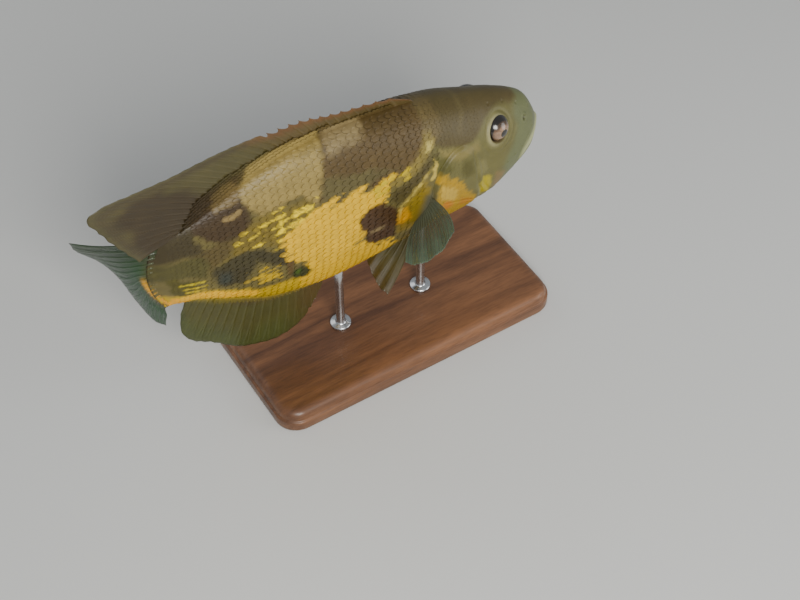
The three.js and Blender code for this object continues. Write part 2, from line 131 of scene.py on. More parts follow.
def toOutline(s, h, outline, closed=True):  # distance to an outline in the side view, above 0 inside it
    points = np.array(outline, float)
    starts, stops = (points, np.roll(points, -1, 0)) if closed else (points[:-1], points[1:])
    nearest = np.full(s.shape, 1e9)
    inside = np.zeros(s.shape, bool)
    for (x0, y0), (x1, y1) in zip(starts, stops):
        dx, dy = x1 - x0, y1 - y0
        t = np.clip(((s - x0) * dx + (h - y0) * dy) / (dx * dx + dy * dy), 0, 1)
        nearest = np.minimum(nearest, np.hypot(s - x0 - t * dx, h - y0 - t * dy))
        if closed and dy:
            inside ^= ((y0 > h) != (y1 > h)) & (s < x0 + (h - y0) * dx / dy)
    return np.where(inside, nearest, -nearest) if closed else nearest


def linear(*rgb):  # from a screen colour, 0 to 255
    c = np.array(rgb, float) / 255
    return np.where(c <= 0.04045, c / 12.92, ((c + 0.055) / 1.055) ** 2.4)


def paint(*rgb):  # a screen colour made a little fuller, because the view dulls it
    c = linear(*rgb)
    grey = c @ [0.25, 0.65, 0.1]
    return np.clip(grey + (c - grey) * 1.16, 0.0008, 1) * mix(0.68, 1.1, smoothstep(0.1, 0.42, grey))


# Body form, in shares of the standard length from the snout back. It repeats the solids' own form.
body = {
    "length": 0.24, "midline": 0.118, "snoutX": 0.104,
    "swing": 0.022, "swingStart": 0.5, "swingPower": 2.4,
    "noseHeight": -0.004, "noseRun": 0.055, "stalkRound": 0.03,
    "coat": 0.0005,  # metres that the skin lies inside the solids
    "endTaper": 0.72, "endTaperFrom": 0.955,  # the stalk thins to a wedge at the tail fin's root
}
backLine = curveThrough([
    [0, 0.036], [0.04, 0.093], [0.1, 0.132], [0.19, 0.169], [0.3, 0.205], [0.43, 0.229],
    [0.56, 0.237], [0.66, 0.229], [0.76, 0.199], [0.86, 0.15], [0.93, 0.119], [1, 0.107]])
bellyLine = curveThrough([
    [0, -0.034], [0.05, -0.073], [0.12, -0.118], [0.2, -0.152], [0.34, -0.186], [0.48, -0.212],
    [0.6, -0.226], [0.72, -0.214], [0.84, -0.165], [0.93, -0.126], [1, -0.114]])
halfWidth = curveThrough([
    [0, 0.025], [0.04, 0.053], [0.1, 0.08], [0.18, 0.099], [0.28, 0.106], [0.45, 0.101],
    [0.6, 0.083], [0.75, 0.057], [0.88, 0.034], [1, 0.019], [1.04, 0.012]])
backPinch = curveThrough([
    [0, 0], [0.06, 0.12], [0.17, 0.11], [0.3, -0.1], [0.45, -0.12], [0.62, -0.08], [0.8, 0], [1, 0]])
scale = body["length"]
millimetres = 1000 * scale


# A point from its share along, and metres to the fish's left and above the midline
def place(s, left, height):
    past = np.maximum(0, s - body["swingStart"]) / (1 - body["swingStart"])
    shift = scale * body["swing"] * past ** body["swingPower"]
    lean = body["swing"] * body["swingPower"] / (1 - body["swingStart"])
    turn = np.arctan(lean * past ** (body["swingPower"] - 1))
    return np.stack([body["snoutX"] - scale * s + left * np.sin(turn),
                     shift + left * np.cos(turn),
                     body["midline"] + height + 0 * left], -1)


def sectionAt(s):
    t = np.clip(s / body["noseRun"], 0, 1)
    swell = np.sqrt(1 - (1 - t) ** 2)
    nose = body["noseHeight"]
    return (scale * (nose + (backLine(s) - nose) * swell), scale * (nose + (bellyLine(s) - nose) * swell),
            scale * halfWidth(s) * swell)


def stalkEnd(height):
    return 1 + body["stalkRound"] * (1 - height ** 2)


def bodyAt(s, angle, grow=0.0):  # the angle is 0 at the back, and grows down the left flank
    top, bottom, half = sectionAt(s)
    up = np.cos(angle)
    end = stalkEnd(up)
    half = half * (1 - body["endTaper"] * smoothstep(body["endTaperFrom"], 1, s / end))
    left = (half + grow) * np.sin(angle) * (1 - backPinch(s) * up)
    height = (top + bottom) / 2 + ((top - bottom) / 2 + grow) * up
    return place(s, left, height), height / scale


def flankAt(s, h):
    top, bottom, half = sectionAt(s)
    t = np.clip((scale * h - (top + bottom) / 2) / ((top - bottom) / 2), -1, 1)
    return half * np.sqrt(1 - t * t) * (1 - backPinch(s) * t)


# Head forms, sculpted along the skin's normal
head = {  # places are shares of the length; heights, depths and radii are metres
    "mouthDrop": 0.05, "mouthRun": 0.088, "mouthBend": 1.3,
    "upperLip": 0.0007, "lowerLip": 0.0012, "mouthCut": 0.0014,
    "eyeS": 0.163, "eyeH": 0.09, "eyeRadius": 0.0084, "eyeProud": 0.0031,
    "nostrilS": 0.074, "nostrilH": 0.07, "nostrilDeep": 0.0015,
    "coverRise": 0.0011, "coverGroove": 0.0011,
    "socketDeep": 0.003, "socketRim": 0.0076, "poreDeep": 0.0004, "sculptEnd": 0.42,
}
coverOutline = splineThrough([
    [0.238, 0.088], [0.27, 0.106], [0.304, 0.1], [0.338, 0.064], [0.354, 0.01], [0.348, -0.046],
    [0.323, -0.1], [0.286, -0.133], [0.25, -0.143], [0.222, -0.118], [0.212, -0.062], [0.216, 0.012],
    [0.238, 0.088]])(np.linspace(0, 1, 49))[:-1]
creases = [  # side-view lines of the head: points, depth and width in millimetres, and the ridge beside it
    {"line": [[0.246, 0.078], [0.24, 0.03], [0.232, -0.03], [0.21, -0.085], [0.165, -0.112], [0.12, -0.112]],
     "deep": 0.55, "wide": 1.1, "ridge": 0.35},
    {"line": [[0.228, 0.05], [0.22, 0.0], [0.212, -0.04], [0.19, -0.078], [0.15, -0.094], [0.115, -0.09]],
     "deep": 0.3, "wide": 0.9, "ridge": 0.3},
    {"line": [[0.35, -0.035], [0.31, -0.052], [0.262, -0.07], [0.232, -0.088]],
     "deep": 0.35, "wide": 0.7, "ridge": 0.2},
    {"line": [[0.232, -0.088], [0.2, -0.118], [0.15, -0.13], [0.11, -0.122]],
     "deep": 0.4, "wide": 0.8, "ridge": 0.2},
    {"line": [[0.062, 0.012], [0.085, -0.012], [0.098, -0.04], [0.102, -0.068]],
     "deep": 0.5, "wide": 0.8, "ridge": 0.3},
    {"line": [[0.11, 0.07], [0.126, 0.048], [0.16, 0.038], [0.198, 0.05], [0.214, 0.08]],
     "deep": 0.22, "wide": 1.3, "ridge": 0.2},
    {"line": [[0.03, -0.052], [0.07, -0.084], [0.11, -0.106]], "deep": 0.35, "wide": 1.0, "ridge": 0.2},
    {"line": [[0.12, -0.105], [0.17, -0.127], [0.22, -0.145]], "deep": 0.4, "wide": 0.9, "ridge": 0.35},
    {"line": [[0.13, -0.112], [0.18, -0.134], [0.24, -0.153]], "deep": 0.35, "wide": 0.8, "ridge": 0.3},
]
poreLines = [  # sensory pores: side-view lines, each with a count
    {"line": [[0.048, 0.03], [0.07, 0.012], [0.1, 0.0], [0.14, -0.012]], "count": 5},
    {"line": [[0.238, 0.055], [0.226, -0.03], [0.19, -0.088], [0.13, -0.1]], "count": 7},
    {"line": [[0.05, 0.082], [0.085, 0.108], [0.12, 0.129], [0.17, 0.147]], "count": 4},
    {"line": [[0.035, -0.05], [0.07, -0.078], [0.11, -0.1]], "count": 4},
]
poreSpots = np.concatenate([splineThrough(p["line"])(np.linspace(0, 1, p["count"])) for p in poreLines])


def mouthAt(s):
    return body["noseHeight"] - head["mouthDrop"] * (np.maximum(0, s) / head["mouthRun"]) ** head["mouthBend"]


def aboveMouth(s, h):  # millimetres over the line between the lips
    slope = 0.8 * smoothstep(0.0, 0.06, s)
    return (h - mouthAt(s)) * millimetres / np.sqrt(1 + slope ** 2)


def awayFrom(s, h, spotS, spotH):  # millimetres from a spot in the side view
    return np.hypot(s - spotS, h - spotH) * millimetres


def relief(s, h):  # metres that the skin stands out from the plain body
    rise = np.zeros(s.shape)
    near = s < head["sculptEnd"]
    a, b = s[near], h[near]
    out = np.zeros(a.shape)
    # lips
    fall = aboveMouth(a, b)
    fade = 1 - smoothstep(head["mouthRun"] - 0.016, head["mouthRun"] + 0.012, a)
    taper = mix(1, 0.62, smoothstep(0.01, head["mouthRun"], a))
    lips = head["upperLip"] * hump(fall - 2.5, 1.9) + head["lowerLip"] * hump(fall + 2.7, 2.0)
    out += 1000 * fade * taper * lips
    out -= 1000 * fade * head["mouthCut"] * hump(fall, 0.5) * smoothstep(-0.01, 0.02, a)
    out -= fade * taper * 0.5 * (hump(fall - 5.6, 0.8) + hump(fall + 5.9, 0.9))
    # gill cover
    cover = toOutline(a, b, coverOutline) * millimetres
    rear = smoothstep(0.245, 0.3, a)
    edge = np.where(rear > 0.5, smoothstep(-0.25, 0.35, cover), 1) * (cover > -0.4)
    out += 1000 * head["coverRise"] * edge * smoothstep(-0.2, 5, cover + 4.5 * rear)
    out -= 1000 * head["coverGroove"] * rear * hump(cover + 1.1, 0.8)
    # creases and their soft ridges
    for crease in creases:
        away = toOutline(a, b, crease["line"], closed=False) * millimetres
        deep, wide, ridge = crease["deep"], crease["wide"], crease["ridge"]
        out += ridge * hump(away, 3.2 * wide) - (deep + ridge) * hump(away, wide)
    # eye socket, its rim, and a brow over it
    brow = smoothstep(-0.02, 0.03, b - head["eyeH"])
    past = awayFrom(a, b, head["eyeS"], head["eyeH"]) - 1000 * head["socketRim"]
    out += (0.7 + 0.3 * brow) * hump(past, 1.1) + 0.3 * hump(past - 3, 2.4)
    out -= 1000 * head["socketDeep"] * smoothstep(-1, -2.4, past) + 0.3 * hump(past - 2, 0.6)
    # nostril, and pores
    reach = awayFrom(a, b, head["nostrilS"], head["nostrilH"])
    out += 0.45 * hump(reach - 1.9, 0.6) - 1000 * head["nostrilDeep"] * hump(reach, 0.85)
    for x, y in poreSpots:
        reach = awayFrom(a, b, x, y)
        out += 0.1 * hump(reach - 1.0, 0.4) - 1000 * head["poreDeep"] * hump(reach, 0.55)
    # the muscle at the pectoral fin's root
    reach = np.hypot((a - 0.368) * 1.4, b + 0.034) * millimetres
    out += 1.1 * hump(reach, 6)
    rise[near] = out
    return rise / 1000


# A point of the finished skin, raised along its normal, with its height share
def skinAt(s, angle, lift=0.0):
    step = 1e-4
    point, h = bodyAt(s, angle)
    alongSkin = bodyAt(s + step, angle)[0] - point
    roundSkin = bodyAt(s, angle + step * 10)[0] - point
    normal = np.cross(alongSkin, roundSkin)
    normal /= np.linalg.norm(normal, axis=-1, keepdims=True) + 1e-18
    middle = place(s + 0.02, 0 * s, sum(sectionAt(s)[:2]) / 2)
    flip = np.sign(np.einsum("ij,ij->i", normal, point - middle))
    normal *= np.where(flip == 0, 1, flip)[:, None]
    rise = relief(s, h) - body["coat"] + lift
    return point + normal * rise[:, None], h


# Markings, with painted shade and a painted highlight round the mouth, the eye and the nostril. The same
# colours go to the skin and the scales.
strokes = {  # streaks along the rows of scales, down to the rear: degrees, and sizes in millimetres
    "slant": 20,
    "wide": {"long": 11, "high": 1.9, "share": 0.8},
    "thin": {"long": 7, "high": 1.1, "share": 0.55},
}
furthestStroke = 30  # thousandths of the length that a mark may reach past its outline


def strokeNoise(s, h, side, seed):
    slant = math.radians(strokes["slant"])
    x, y = s * millimetres, h * millimetres
    along = x * math.cos(slant) - y * math.sin(slant)
    across = x * math.sin(slant) + y * math.cos(slant)
    total = 0
    for i, kind in enumerate((strokes["wide"], strokes["thin"])):
        spot = np.stack([along / kind["long"], across / kind["high"], 50.0 * side + 0 * x], -1)
        total = total + kind["share"] * softNoise(spot, 1.0, seed + 7 * i)
    return total


# Side-view marks in the order of painting: screen colour, softness, wander, how far the edge is drawn in,
# and an outline in thousandths of the length
patches = {
    "head": ((112, 107, 66), 20, 4, 0, [-100, 300, 200, 300, 331, 202, 361, 104, 353, 4, 334, -92, 250,
        -300, -100, -300]),
    "snout": ((110, 114, 80), 14, 4, 0, [-100, 130, 60, 128, 93, 113, 107, 98, 104, 65, 118, 38, 143, 11,
        152, -18, 150, -60, 120, -200, -100, -200]),
    "throat glow": ((142, 122, 66), 20, 6, 0, [110, -150, 200, -112, 260, -100, 343, -94, 404, -152, 400,
        -300, 100, -300]),
    "nape": ((92, 81, 50), 8, 4, 0, [360, 300, 347, 148, 335, 132, 305, 122, 270, 108, 242, 107, 215, 118,
        198, 131, 173, 136, 139, 132, 100, 118, 80, 116, 50, 300]),
    "nape light": ((104, 93, 60), 7, 4, 0, [238, 186, 244, 174, 266, 148, 276, 146, 256, 174, 250, 190]),
    "shoulder": ((108, 94, 60), 12, 5, 0, [318, 220, 313, 173, 346, 148, 371, 163, 360, 220]),
    "below nape": ((132, 121, 76), 10, 5, 0, [336, 129, 297, 113, 256, 98, 228, 96, 226, 72, 252, 84, 283,
        80, 335, 104]),
    "saddle": ((94, 77, 46), 4.5, 5, 0, [585, 270, 600, 230, 615, 186, 640, 102, 602, 91, 568, 87, 526, 99,
        482, 106, 432, 104, 390, 128, 365, 160, 358, 270]),
    "saddle low": ((100, 91, 58), 8, 14, 0, [618, 162, 634, 102, 600, 88, 540, 96, 500, 115, 440, 131, 500,
        150]),
    "saddle pale": ((138, 122, 88), 10, 12, 0, [592, 206, 560, 212, 520, 218, 500, 232, 520, 262, 560, 262,
        592, 250]),
    "beige": ((148, 130, 82), 6, 7, 0, [589, 300, 600, 240, 615, 186, 628, 145, 642, 101, 678, 138, 729,
        119, 768, 108, 797, 140, 802, 165, 780, 205, 766, 245, 745, 300]),
    "strokes": ((122, 106, 52), 10, 22, 0, [759, 112, 791, 101, 819, 78, 841, 40, 860, 0, 840, 10, 810, 12,
        769, 18, 719, -2, 680, 20, 640, 50, 644, 100, 666, 130, 709, 116]),
    "yellow strokes": ((216, 190, 40), 3, 80, 20, [760, 105, 790, 95, 820, 75, 845, 30, 820, 20, 769, 24,
        719, 4, 680, 20, 640, 50, 640, 95, 666, 120, 709, 108]),
    "warm rear": ((68, 52, 30), 6, 9, 0, [793, 139, 783, 102, 818, 67, 857, 55, 911, 94, 935, 125, 940, 200,
        900, 280, 840, 280, 800, 215, 802, 165]),
    "rear mottle": ((120, 102, 64), 5, 14, 2, [800, 160, 818, 143, 857, 134, 872, 150, 862, 195, 818, 210,
        795, 190]),
    "warm fleck": ((142, 122, 82), 3, 12, 6, [800, 150, 830, 135, 860, 120, 840, 110, 800, 125]),
    "olive rear": ((92, 79, 46), 10, 14, 0, [830, 68, 841, 20, 883, -8, 925, -10, 930, 40, 900, 60]),
    "dark rear": ((66, 57, 33), 10, 10, 0, [895, 40, 945, 45, 1100, 20, 1100, 200, 930, 200, 915, 90]),
    "olive end": ((82, 77, 42), 8, 10, 0, [894, 30, 950, 40, 1100, 30, 1100, -30, 985, -10, 953, -12, 900,
        -34]),
    "dark low": ((66, 60, 36), 6, 12, 0, [800, 20, 771, 14, 752, -8, 712, -2, 716, -70, 753, -48, 788, -20,
        800, -60, 819, -92, 860, -85, 884, -60, 890, -20, 843, 8]),
    "blue shade": ((60, 64, 54), 12, 6, 0, [845, -40, 868, -36, 880, -55, 865, -78, 845, -70]),
    "brown bar": ((98, 77, 46), 5, 6, 0, [702, -30, 716, -10, 722, -60, 716, -115, 703, -110]),
    "yellow mottle": ((180, 150, 36), 3, 44, 12, [815, -70, 815, -90, 800, -110, 763, -125, 732, -115, 727,
        -75, 753, -54, 788, -48]),
    "low flank": ((176, 148, 52), 10, 10, 0, [620, -150, 700, -128, 780, -130, 860, -105, 930, -80, 1100,
        -70, 1100, -300, 620, -300]),
    "golden strip": ((208, 164, 14), 5, 6, 0, [780, -138, 830, -122, 880, -100, 930, -84, 960, -85, 970,
        -100, 930, -112, 860, -145, 790, -165]),
    "dark bars": ((84, 78, 34), 5, 10, 0, [990, -12, 924, -38, 925, -85, 960, -80, 985, -60]),
    "bar light": ((172, 156, 60), 1.5, 3, 0, [905, -46, 935, -44, 965, -38, 965, -42, 935, -49, 905, -51]),
    "bar light middle": ((176, 156, 54), 1.5, 3, 0, [900, -61, 930, -60, 958, -55, 958, -59, 930, -65, 900,
        -66]),
    "bar light low": ((172, 150, 50), 1.5, 3, 0, [905, -74, 930, -74, 950, -70, 950, -74, 930, -79, 905,
        -79]),
    "hook": ((204, 152, 20), 3, 3, 0, [940, -112, 962, -100, 972, -84, 984, -84, 992, -108, 960, -126]),
    "yellow upper": ((222, 196, 20), 4, 44, 0, [660, 100, 645, 94, 616, 78, 584, 82, 556, 90, 495, 107, 460,
        93, 470, 70, 498, 58, 535, 52, 560, 20, 700, 15, 680, 50]),
    "yellow": ((255, 198, 0), 5, 34, 0, [553, 45, 553, 23, 547, -19, 545, -60, 530, -90, 500, -108, 460,
        -115, 443, -137, 445, -260, 660, -260, 665, -200, 660, -150, 650, -115, 668, -85, 697, -60, 713,
        -28, 712, -5, 690, 9, 660, 35, 600, 50]),
    "yellow deep": ((250, 178, 0), 14, 8, 0, [560, -70, 610, -60, 620, -120, 610, -260, 500, -260, 530,
        -130]),
    "yellow shade": ((200, 162, 16), 3, 50, -26, [470, 95, 560, 85, 620, 75, 700, 30, 700, -30, 660, -90,
        660, -240, 460, -240, 460, -130, 550, -90, 555, 30, 500, 60]),
    "spot": ((60, 62, 30), 5, 5, 0, [660, -118, 672, -92, 690, -82, 706, -90, 710, -110, 698, -130, 674,
        -134]),
    "spot green": ((76, 98, 36), 5, 2, 0, [688, -93, 699, -95, 700, -112, 689, -115]),
    "stripe": ((132, 117, 66), 6, 11, 0, [346, 178, 367, 173, 379, 148, 401, 126, 433, 114, 475, 100, 475,
        75, 433, 87, 396, 102, 363, 124, 343, 143]),
    "stripe bright": ((176, 154, 50), 3, 34, 4, [421, 117, 475, 104, 510, 100, 510, 64, 470, 78, 421, 94]),
    "stripe top": ((168, 154, 94), 4, 6, 0, [351, 155, 363, 153, 373, 136, 359, 134, 349, 143]),
    "wedge": ((84, 74, 42), 7, 8, 0, [341, 126, 366, 117, 396, 96, 431, 82, 470, 68, 475, 45, 452, 19, 431,
        32, 411, 47, 386, 74, 361, 95, 341, 109]),
    "orange flank": ((136, 116, 50), 8, 10, 0, [381, 63, 406, 38, 436, 13, 452, -19, 448, -89, 401, -97,
        376, -46, 366, 23]),
    "orange patch": ((186, 138, 32), 6, 8, 0, [450, 7, 426, 1, 413, -47, 441, -60, 452, -34]),
    "fin base grey": ((98, 96, 78), 12, 6, 0, [358, 14, 379, 15, 391, -58, 403, -134, 367, -136, 353, -55]),
    "cleithrum line": ((166, 148, 84), 3, 6, 0, [344, 107, 363, 93, 385, 75, 420, 37, 445, 16, 451, -29,
        447, -29, 440, 11, 415, 32, 381, 69, 357, 89]),
    "blob": ((72, 50, 28), 4, 7, 0, [547, 20, 522, 45, 495, 50, 463, 26, 451, -5, 452, -35, 455, -65, 448,
        -94, 476, -90, 500, -94, 527, -78, 536, -49, 530, -30, 545, -14]),
    "blob fleck": ((128, 110, 78), 2, 8, -1, [485, -32, 500, -32, 520, -40, 515, -50, 497, -46, 485, -45]),
    "cheek olive": ((94, 90, 46), 10, 5, 0, [352, 116, 330, 108, 316, 95, 312, 64, 335, 60, 358, 66, 366,
        84]),
    "cheek hollow": ((92, 87, 46), 10, 4, 0, [279, 78, 254, 65, 248, 24, 272, 20, 286, 50]),
    "cheek pale": ((126, 120, 80), 8, 4, 0, [237, 56, 211, 40, 207, 8, 216, -2, 232, 8, 240, 34]),
    "cheek spot": ((160, 146, 56), 7, 5, 0, [222, -6, 194, -20, 186, -68, 192, -96, 214, -84, 222, -58, 226,
        -30]),
    "chin": ((132, 112, 72), 8, 4, 0, [178, -20, 144, -38, 152, -74, 172, -92, 182, -60]),
    "throat": ((166, 134, 54), 7, 10, 0, [346, 64, 311, 43, 281, 12, 262, -30, 232, -78, 210, -112, 226,
        -200, 300, -200, 344, -120, 352, -20]),
    "throat pale": ((178, 150, 76), 6, 10, 0, [341, 34, 302, 8, 287, -30, 300, -46, 323, -32, 343, -5]),
    "throat red": ((178, 118, 52), 7, 8, 0, [328, -30, 302, -48, 298, -70, 312, -76, 326, -60]),
    "throat rust": ((170, 120, 48), 7, 6, 0, [276, -50, 246, -74, 236, -90, 254, -96, 282, -78]),
    "cover streak": ((170, 152, 86), 2, 8, -1, [353, 110, 345, 104, 350, 76, 358, 52, 364, 58, 360, 86]),
}
tones = {  # screen colours under the marks, the painted shade between the lips, the eye's pale ring with its painted highlight, and the painted shade in the eye's socket and the nostril
    "flank": (112, 102, 62), "back": (88, 76, 46), "belly": (160, 132, 54), "lips": (164, 166, 128),
    "mouth": (66, 56, 36), "eyeRingAndHighlight": (152, 146, 110), "eyeSocketShade": (92, 78, 56), "nostril": (50, 42, 28),
}
paints = {name: paint(*rgb) for name, rgb in tones.items()}


def noiseSpot(s, h, side):  # millimetres, and each flank has its own noise
    return np.stack([s * millimetres, h * millimetres, 40.0 * side], -1)


def coatColour(s, h, angle, side, seed=4):
    colour = over(paints["flank"], paints["back"], smoothstep(0.08, 0.2, h))
    colour = over(colour, paints["belly"], smoothstep(-0.12, -0.2, h))
    spot = noiseSpot(s, h, side)
    # the far flank has the same kinds of marks in other places
    far = np.clip(np.abs(np.sin(angle)) * 1.6 - 0.2, 0, 1) * (side > 0)
    s = s + far * (0.03 * softNoise(spot, 62, 11) - 0.018)
    h = h + far * (0.03 * softNoise(spot, 55, 12) + 0.006)
    streaks = strokeNoise(s, h, side, seed)
    spot = noiseSpot(s, h, side)
    fine, broad = softNoise(spot, 2.6, seed + 1), softNoise(spot, 11, seed + 2)
    rough = 0.6 * streaks + 0.3 * fine + 0.35 * broad
    for rgb, soft, wander, drawnIn, outline in patches.values():
        nearest = 1000 * toOutline(s, h, np.array(outline).reshape(-1, 2) / 1000)
        cover = smoothstep(-soft, soft, nearest - drawnIn + wander * rough) * (nearest > -furthestStroke)
        colour = over(colour, paint(*rgb), cover)
    # paler lips, painted shade between them, and the ring round the eye
    fall = aboveMouth(s, h)
    fade = 1 - smoothstep(head["mouthRun"] - 0.01, head["mouthRun"] + 0.015, s)
    lips = fade * np.maximum(hump(fall - 3.2, 3.4), 0.7 * hump(fall + 3, 2.6))
    colour = over(colour, paints["lips"], 0.8 * lips)
    # painted shade in the groove between the lips
    colour = over(colour, paints["mouth"], 0.8 * fade * hump(fall, 0.5))
    # the eye's pale ring: its own pale skin, made much brighter on its upper rear side as a painted highlight
    rear = smoothstep(-4, 8, (s - head["eyeS"] + 0.35 * (h - head["eyeH"])) * millimetres)
    past = awayFrom(s, h, head["eyeS"], head["eyeH"]) - 1000 * head["socketRim"]
    colour = over(colour, paints["eyeRingAndHighlight"], (0.05 + 0.85 * rear) * hump(past - 0.2, 1.3))
    # painted shade in the socket, in the gap round the eyeball
    colour = over(colour, paints["eyeSocketShade"], smoothstep(-0.7, -1.4, past))
    # painted shade in the nostril's pit
    reach = awayFrom(s, h, head["nostrilS"], head["nostrilH"])
    colour = over(colour, paints["nostril"], 0.8 * hump(reach, 0.9))
    tone = 1 + 0.09 * streaks * smoothstep(0.25, 0.45, s) + 0.05 * fine + 0.06 * broad
    return np.clip(colour * tone[:, None], 0, 1)


# Meshes
def meshObject(name, points, faces, material):
    mesh = bpy.data.meshes.new(name)
    mesh.from_pydata(np.asarray(points).tolist(), [], [list(map(int, f)) for f in faces])
    mesh.validate()
    mesh.shade_smooth()
    piece = bpy.data.objects.new(name, mesh)
    bpy.context.scene.collection.objects.link(piece)
    mesh.materials.append(material)
    return piece


def addValues(piece, name, kind, values):  # an attribute with one value for each point
    field = {"FLOAT_COLOR": "color", "FLOAT_VECTOR": "vector", "FLOAT": "value"}[kind]
    layer = piece.data.attributes.new(name, kind, "POINT")
    values = np.asarray(values, np.float32)
    if kind == "FLOAT_COLOR":
        values = np.concatenate([values, np.ones((len(values), 1), np.float32)], 1)
    layer.data.foreach_set(field, values.ravel())


def addMap(piece, places):  # the map that the bake uses, from one place for each point
    layer = piece.data.uv_layers.new(name="OFBake")
    corners = np.empty(len(piece.data.loops), np.int32)
    piece.data.loops.foreach_get("vertex_index", corners)
    layer.data.foreach_set("uv", np.asarray(places, np.float32)[corners].ravel())


def finishPiece(piece, slot, *nodes):
    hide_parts(*nodes)
    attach(piece, "root")
    return piece


# Materials
def newMaterial(name, roughness=0.45, specular=0.5, coat=0.0, coatRoughness=0.2, metallic=0.0):
    material = bpy.data.materials.new(name)
    material.use_nodes = True
    shader = material.node_tree.nodes["Principled BSDF"]
    shader.inputs["Roughness"].default_value = roughness
    shader.inputs["Specular IOR Level"].default_value = specular
    shader.inputs["Coat Weight"].default_value = coat
    shader.inputs["Coat Roughness"].default_value = coatRoughness
    shader.inputs["Metallic"].default_value = metallic
    return material, shader


def addNode(material, kind, **values):
    node = material.node_tree.nodes.new(kind)
    for name, value in values.items():
        if name in node.inputs:
            node.inputs[name].default_value = value
        else:
            setattr(node, name, value)
    return node


def join(material, source, target):
    material.node_tree.links.new(source, target)


def readValue(material, name):
    return addNode(material, "ShaderNodeAttribute", attribute_name=name)


def objectNoise(material, scale, detail=3.0, roughness=0.55, stretch=(1, 1, 1), distortion=0.0):
    where = addNode(material, "ShaderNodeTexCoord")
    mapping = addNode(material, "ShaderNodeMapping")
    mapping.inputs["Scale"].default_value = stretch
    noise = addNode(material, "ShaderNodeTexNoise", Scale=scale, Detail=detail, Roughness=roughness,
                    Distortion=distortion)
    join(material, where.outputs["Object"], mapping.inputs["Vector"])
    join(material, mapping.outputs["Vector"], noise.inputs["Vector"])
    return noise.outputs["Fac"]


def remap(material, value, low, high, fromLow=0.0, fromHigh=1.0):
    node = addNode(material, "ShaderNodeMapRange")
    for name, number in (("From Min", fromLow), ("From Max", fromHigh), ("To Min", low), ("To Max", high)):
        node.inputs[name].default_value = number
    join(material, value, node.inputs["Value"])
    return node.outputs["Result"]


def tinted(material, colour, factor):  # a colour times a number
    node = addNode(material, "ShaderNodeVectorMath", operation="SCALE")
    join(material, colour, node.inputs[0])
    join(material, factor, node.inputs["Scale"])
    return node.outputs["Vector"]


def maths(material, operation, first, second=None):  # one step of arithmetic, with a value or a number
    node = addNode(material, "ShaderNodeMath", operation=operation)
    join(material, first, node.inputs[0])
    if isinstance(second, float):
        node.inputs[1].default_value = second
    elif second is not None:
        join(material, second, node.inputs[1])
    return node.outputs["Value"]


def parted(material, name):  # the three numbers of an attribute
    parts = addNode(material, "ShaderNodeSeparateXYZ")
    join(material, readValue(material, name).outputs["Vector"], parts.inputs["Vector"])
    return parts.outputs


def coated(material, shader, tone):  # the piece's own colours, times a tone
    colour = tinted(material, readValue(material, "coat").outputs["Color"], tone)
    join(material, colour, shader.inputs["Base Color"])


def bumped(material, shader, heights):  # heights is a list of (value, metres, strength)
    normal = None
    for value, distance, strength in heights:
        bump = addNode(material, "ShaderNodeBump", Strength=strength, Distance=distance)
        join(material, value, bump.inputs["Height"])
        if normal is not None:
            join(material, normal, bump.inputs["Normal"])
        normal = bump.outputs["Normal"]
    join(material, normal, shader.inputs["Normal"])


def skinMaterial():
    material, shader = newMaterial("oscar_skin", specular=0.32, coat=0.14, coatRoughness=0.3)
    blotch = objectNoise(material, 260, 4)
    grain = objectNoise(material, 1500, 2)
    cells = addNode(material, "ShaderNodeTexVoronoi", Scale=900.0)
    where = addNode(material, "ShaderNodeTexCoord")
    join(material, where.outputs["Object"], cells.inputs["Vector"])
    broad, fine = remap(material, blotch, 0.84, 1.16), remap(material, grain, 0.92, 1.08)
    coated(material, shader, maths(material, "MULTIPLY", broad, fine))
    join(material, remap(material, blotch, 0.4, 0.6), shader.inputs["Roughness"])
    pebbles = cells.outputs["Distance"]
    bumped(material, shader, [(blotch, 0.0004, 0.35), (pebbles, 0.0002, 0.3), (grain, 0.0001, 0.3)])
    return material


def scaleMaterial():
    material, shader = newMaterial("oscar_scale", specular=0.32, coat=0.12, coatRoughness=0.3)
    plate = parted(material, "plate")  # x runs from the root to the free edge
    rings = maths(material, "SINE", maths(material, "MULTIPLY", plate["X"], scales["rings"]))
    blotch = objectNoise(material, 420, 3)
    coated(material, shader, remap(material, blotch, 0.86, 1.14))
    join(material, remap(material, blotch, 0.4, 0.58), shader.inputs["Roughness"])
    bumped(material, shader, [(blotch, 0.0002, 0.3), (rings, 0.00004, 0.35)])
    return material


def finMaterial(name, roughness=0.42, clear=False):
    material, shader = newMaterial(name, specular=0.4, coat=0.2, coatRoughness=0.3)
    ray = parted(material, "ray")  # y runs from root to margin, and z is 1 on a ray
    joints = maths(material, "SINE", maths(material, "MULTIPLY", ray["Y"], finJoints))
    joints = maths(material, "MULTIPLY", joints, ray["Z"])
    blotch = objectNoise(material, 300, 4)
    broad, banded = remap(material, blotch, 0.84, 1.16), remap(material, joints, -0.07, 0.07, -1, 1)
    coated(material, shader, maths(material, "ADD", broad, banded))
    join(material, remap(material, blotch, roughness - 0.08, roughness + 0.1), shader.inputs["Roughness"])
    bumped(material, shader, [(blotch, 0.0002, 0.3), (joints, 0.00006, 0.4)])
    if clear:
        join(material, readValue(material, "film").outputs["Fac"], shader.inputs["Alpha"])
    return material


# Skin
skin = {"start": 0.0002, "headRings": 200, "midRings": 84, "endRings": 44, "headEnd": 0.375, "midEnd": 0.82,
        "end": 1, "around": 328, "bunch": 1.35}


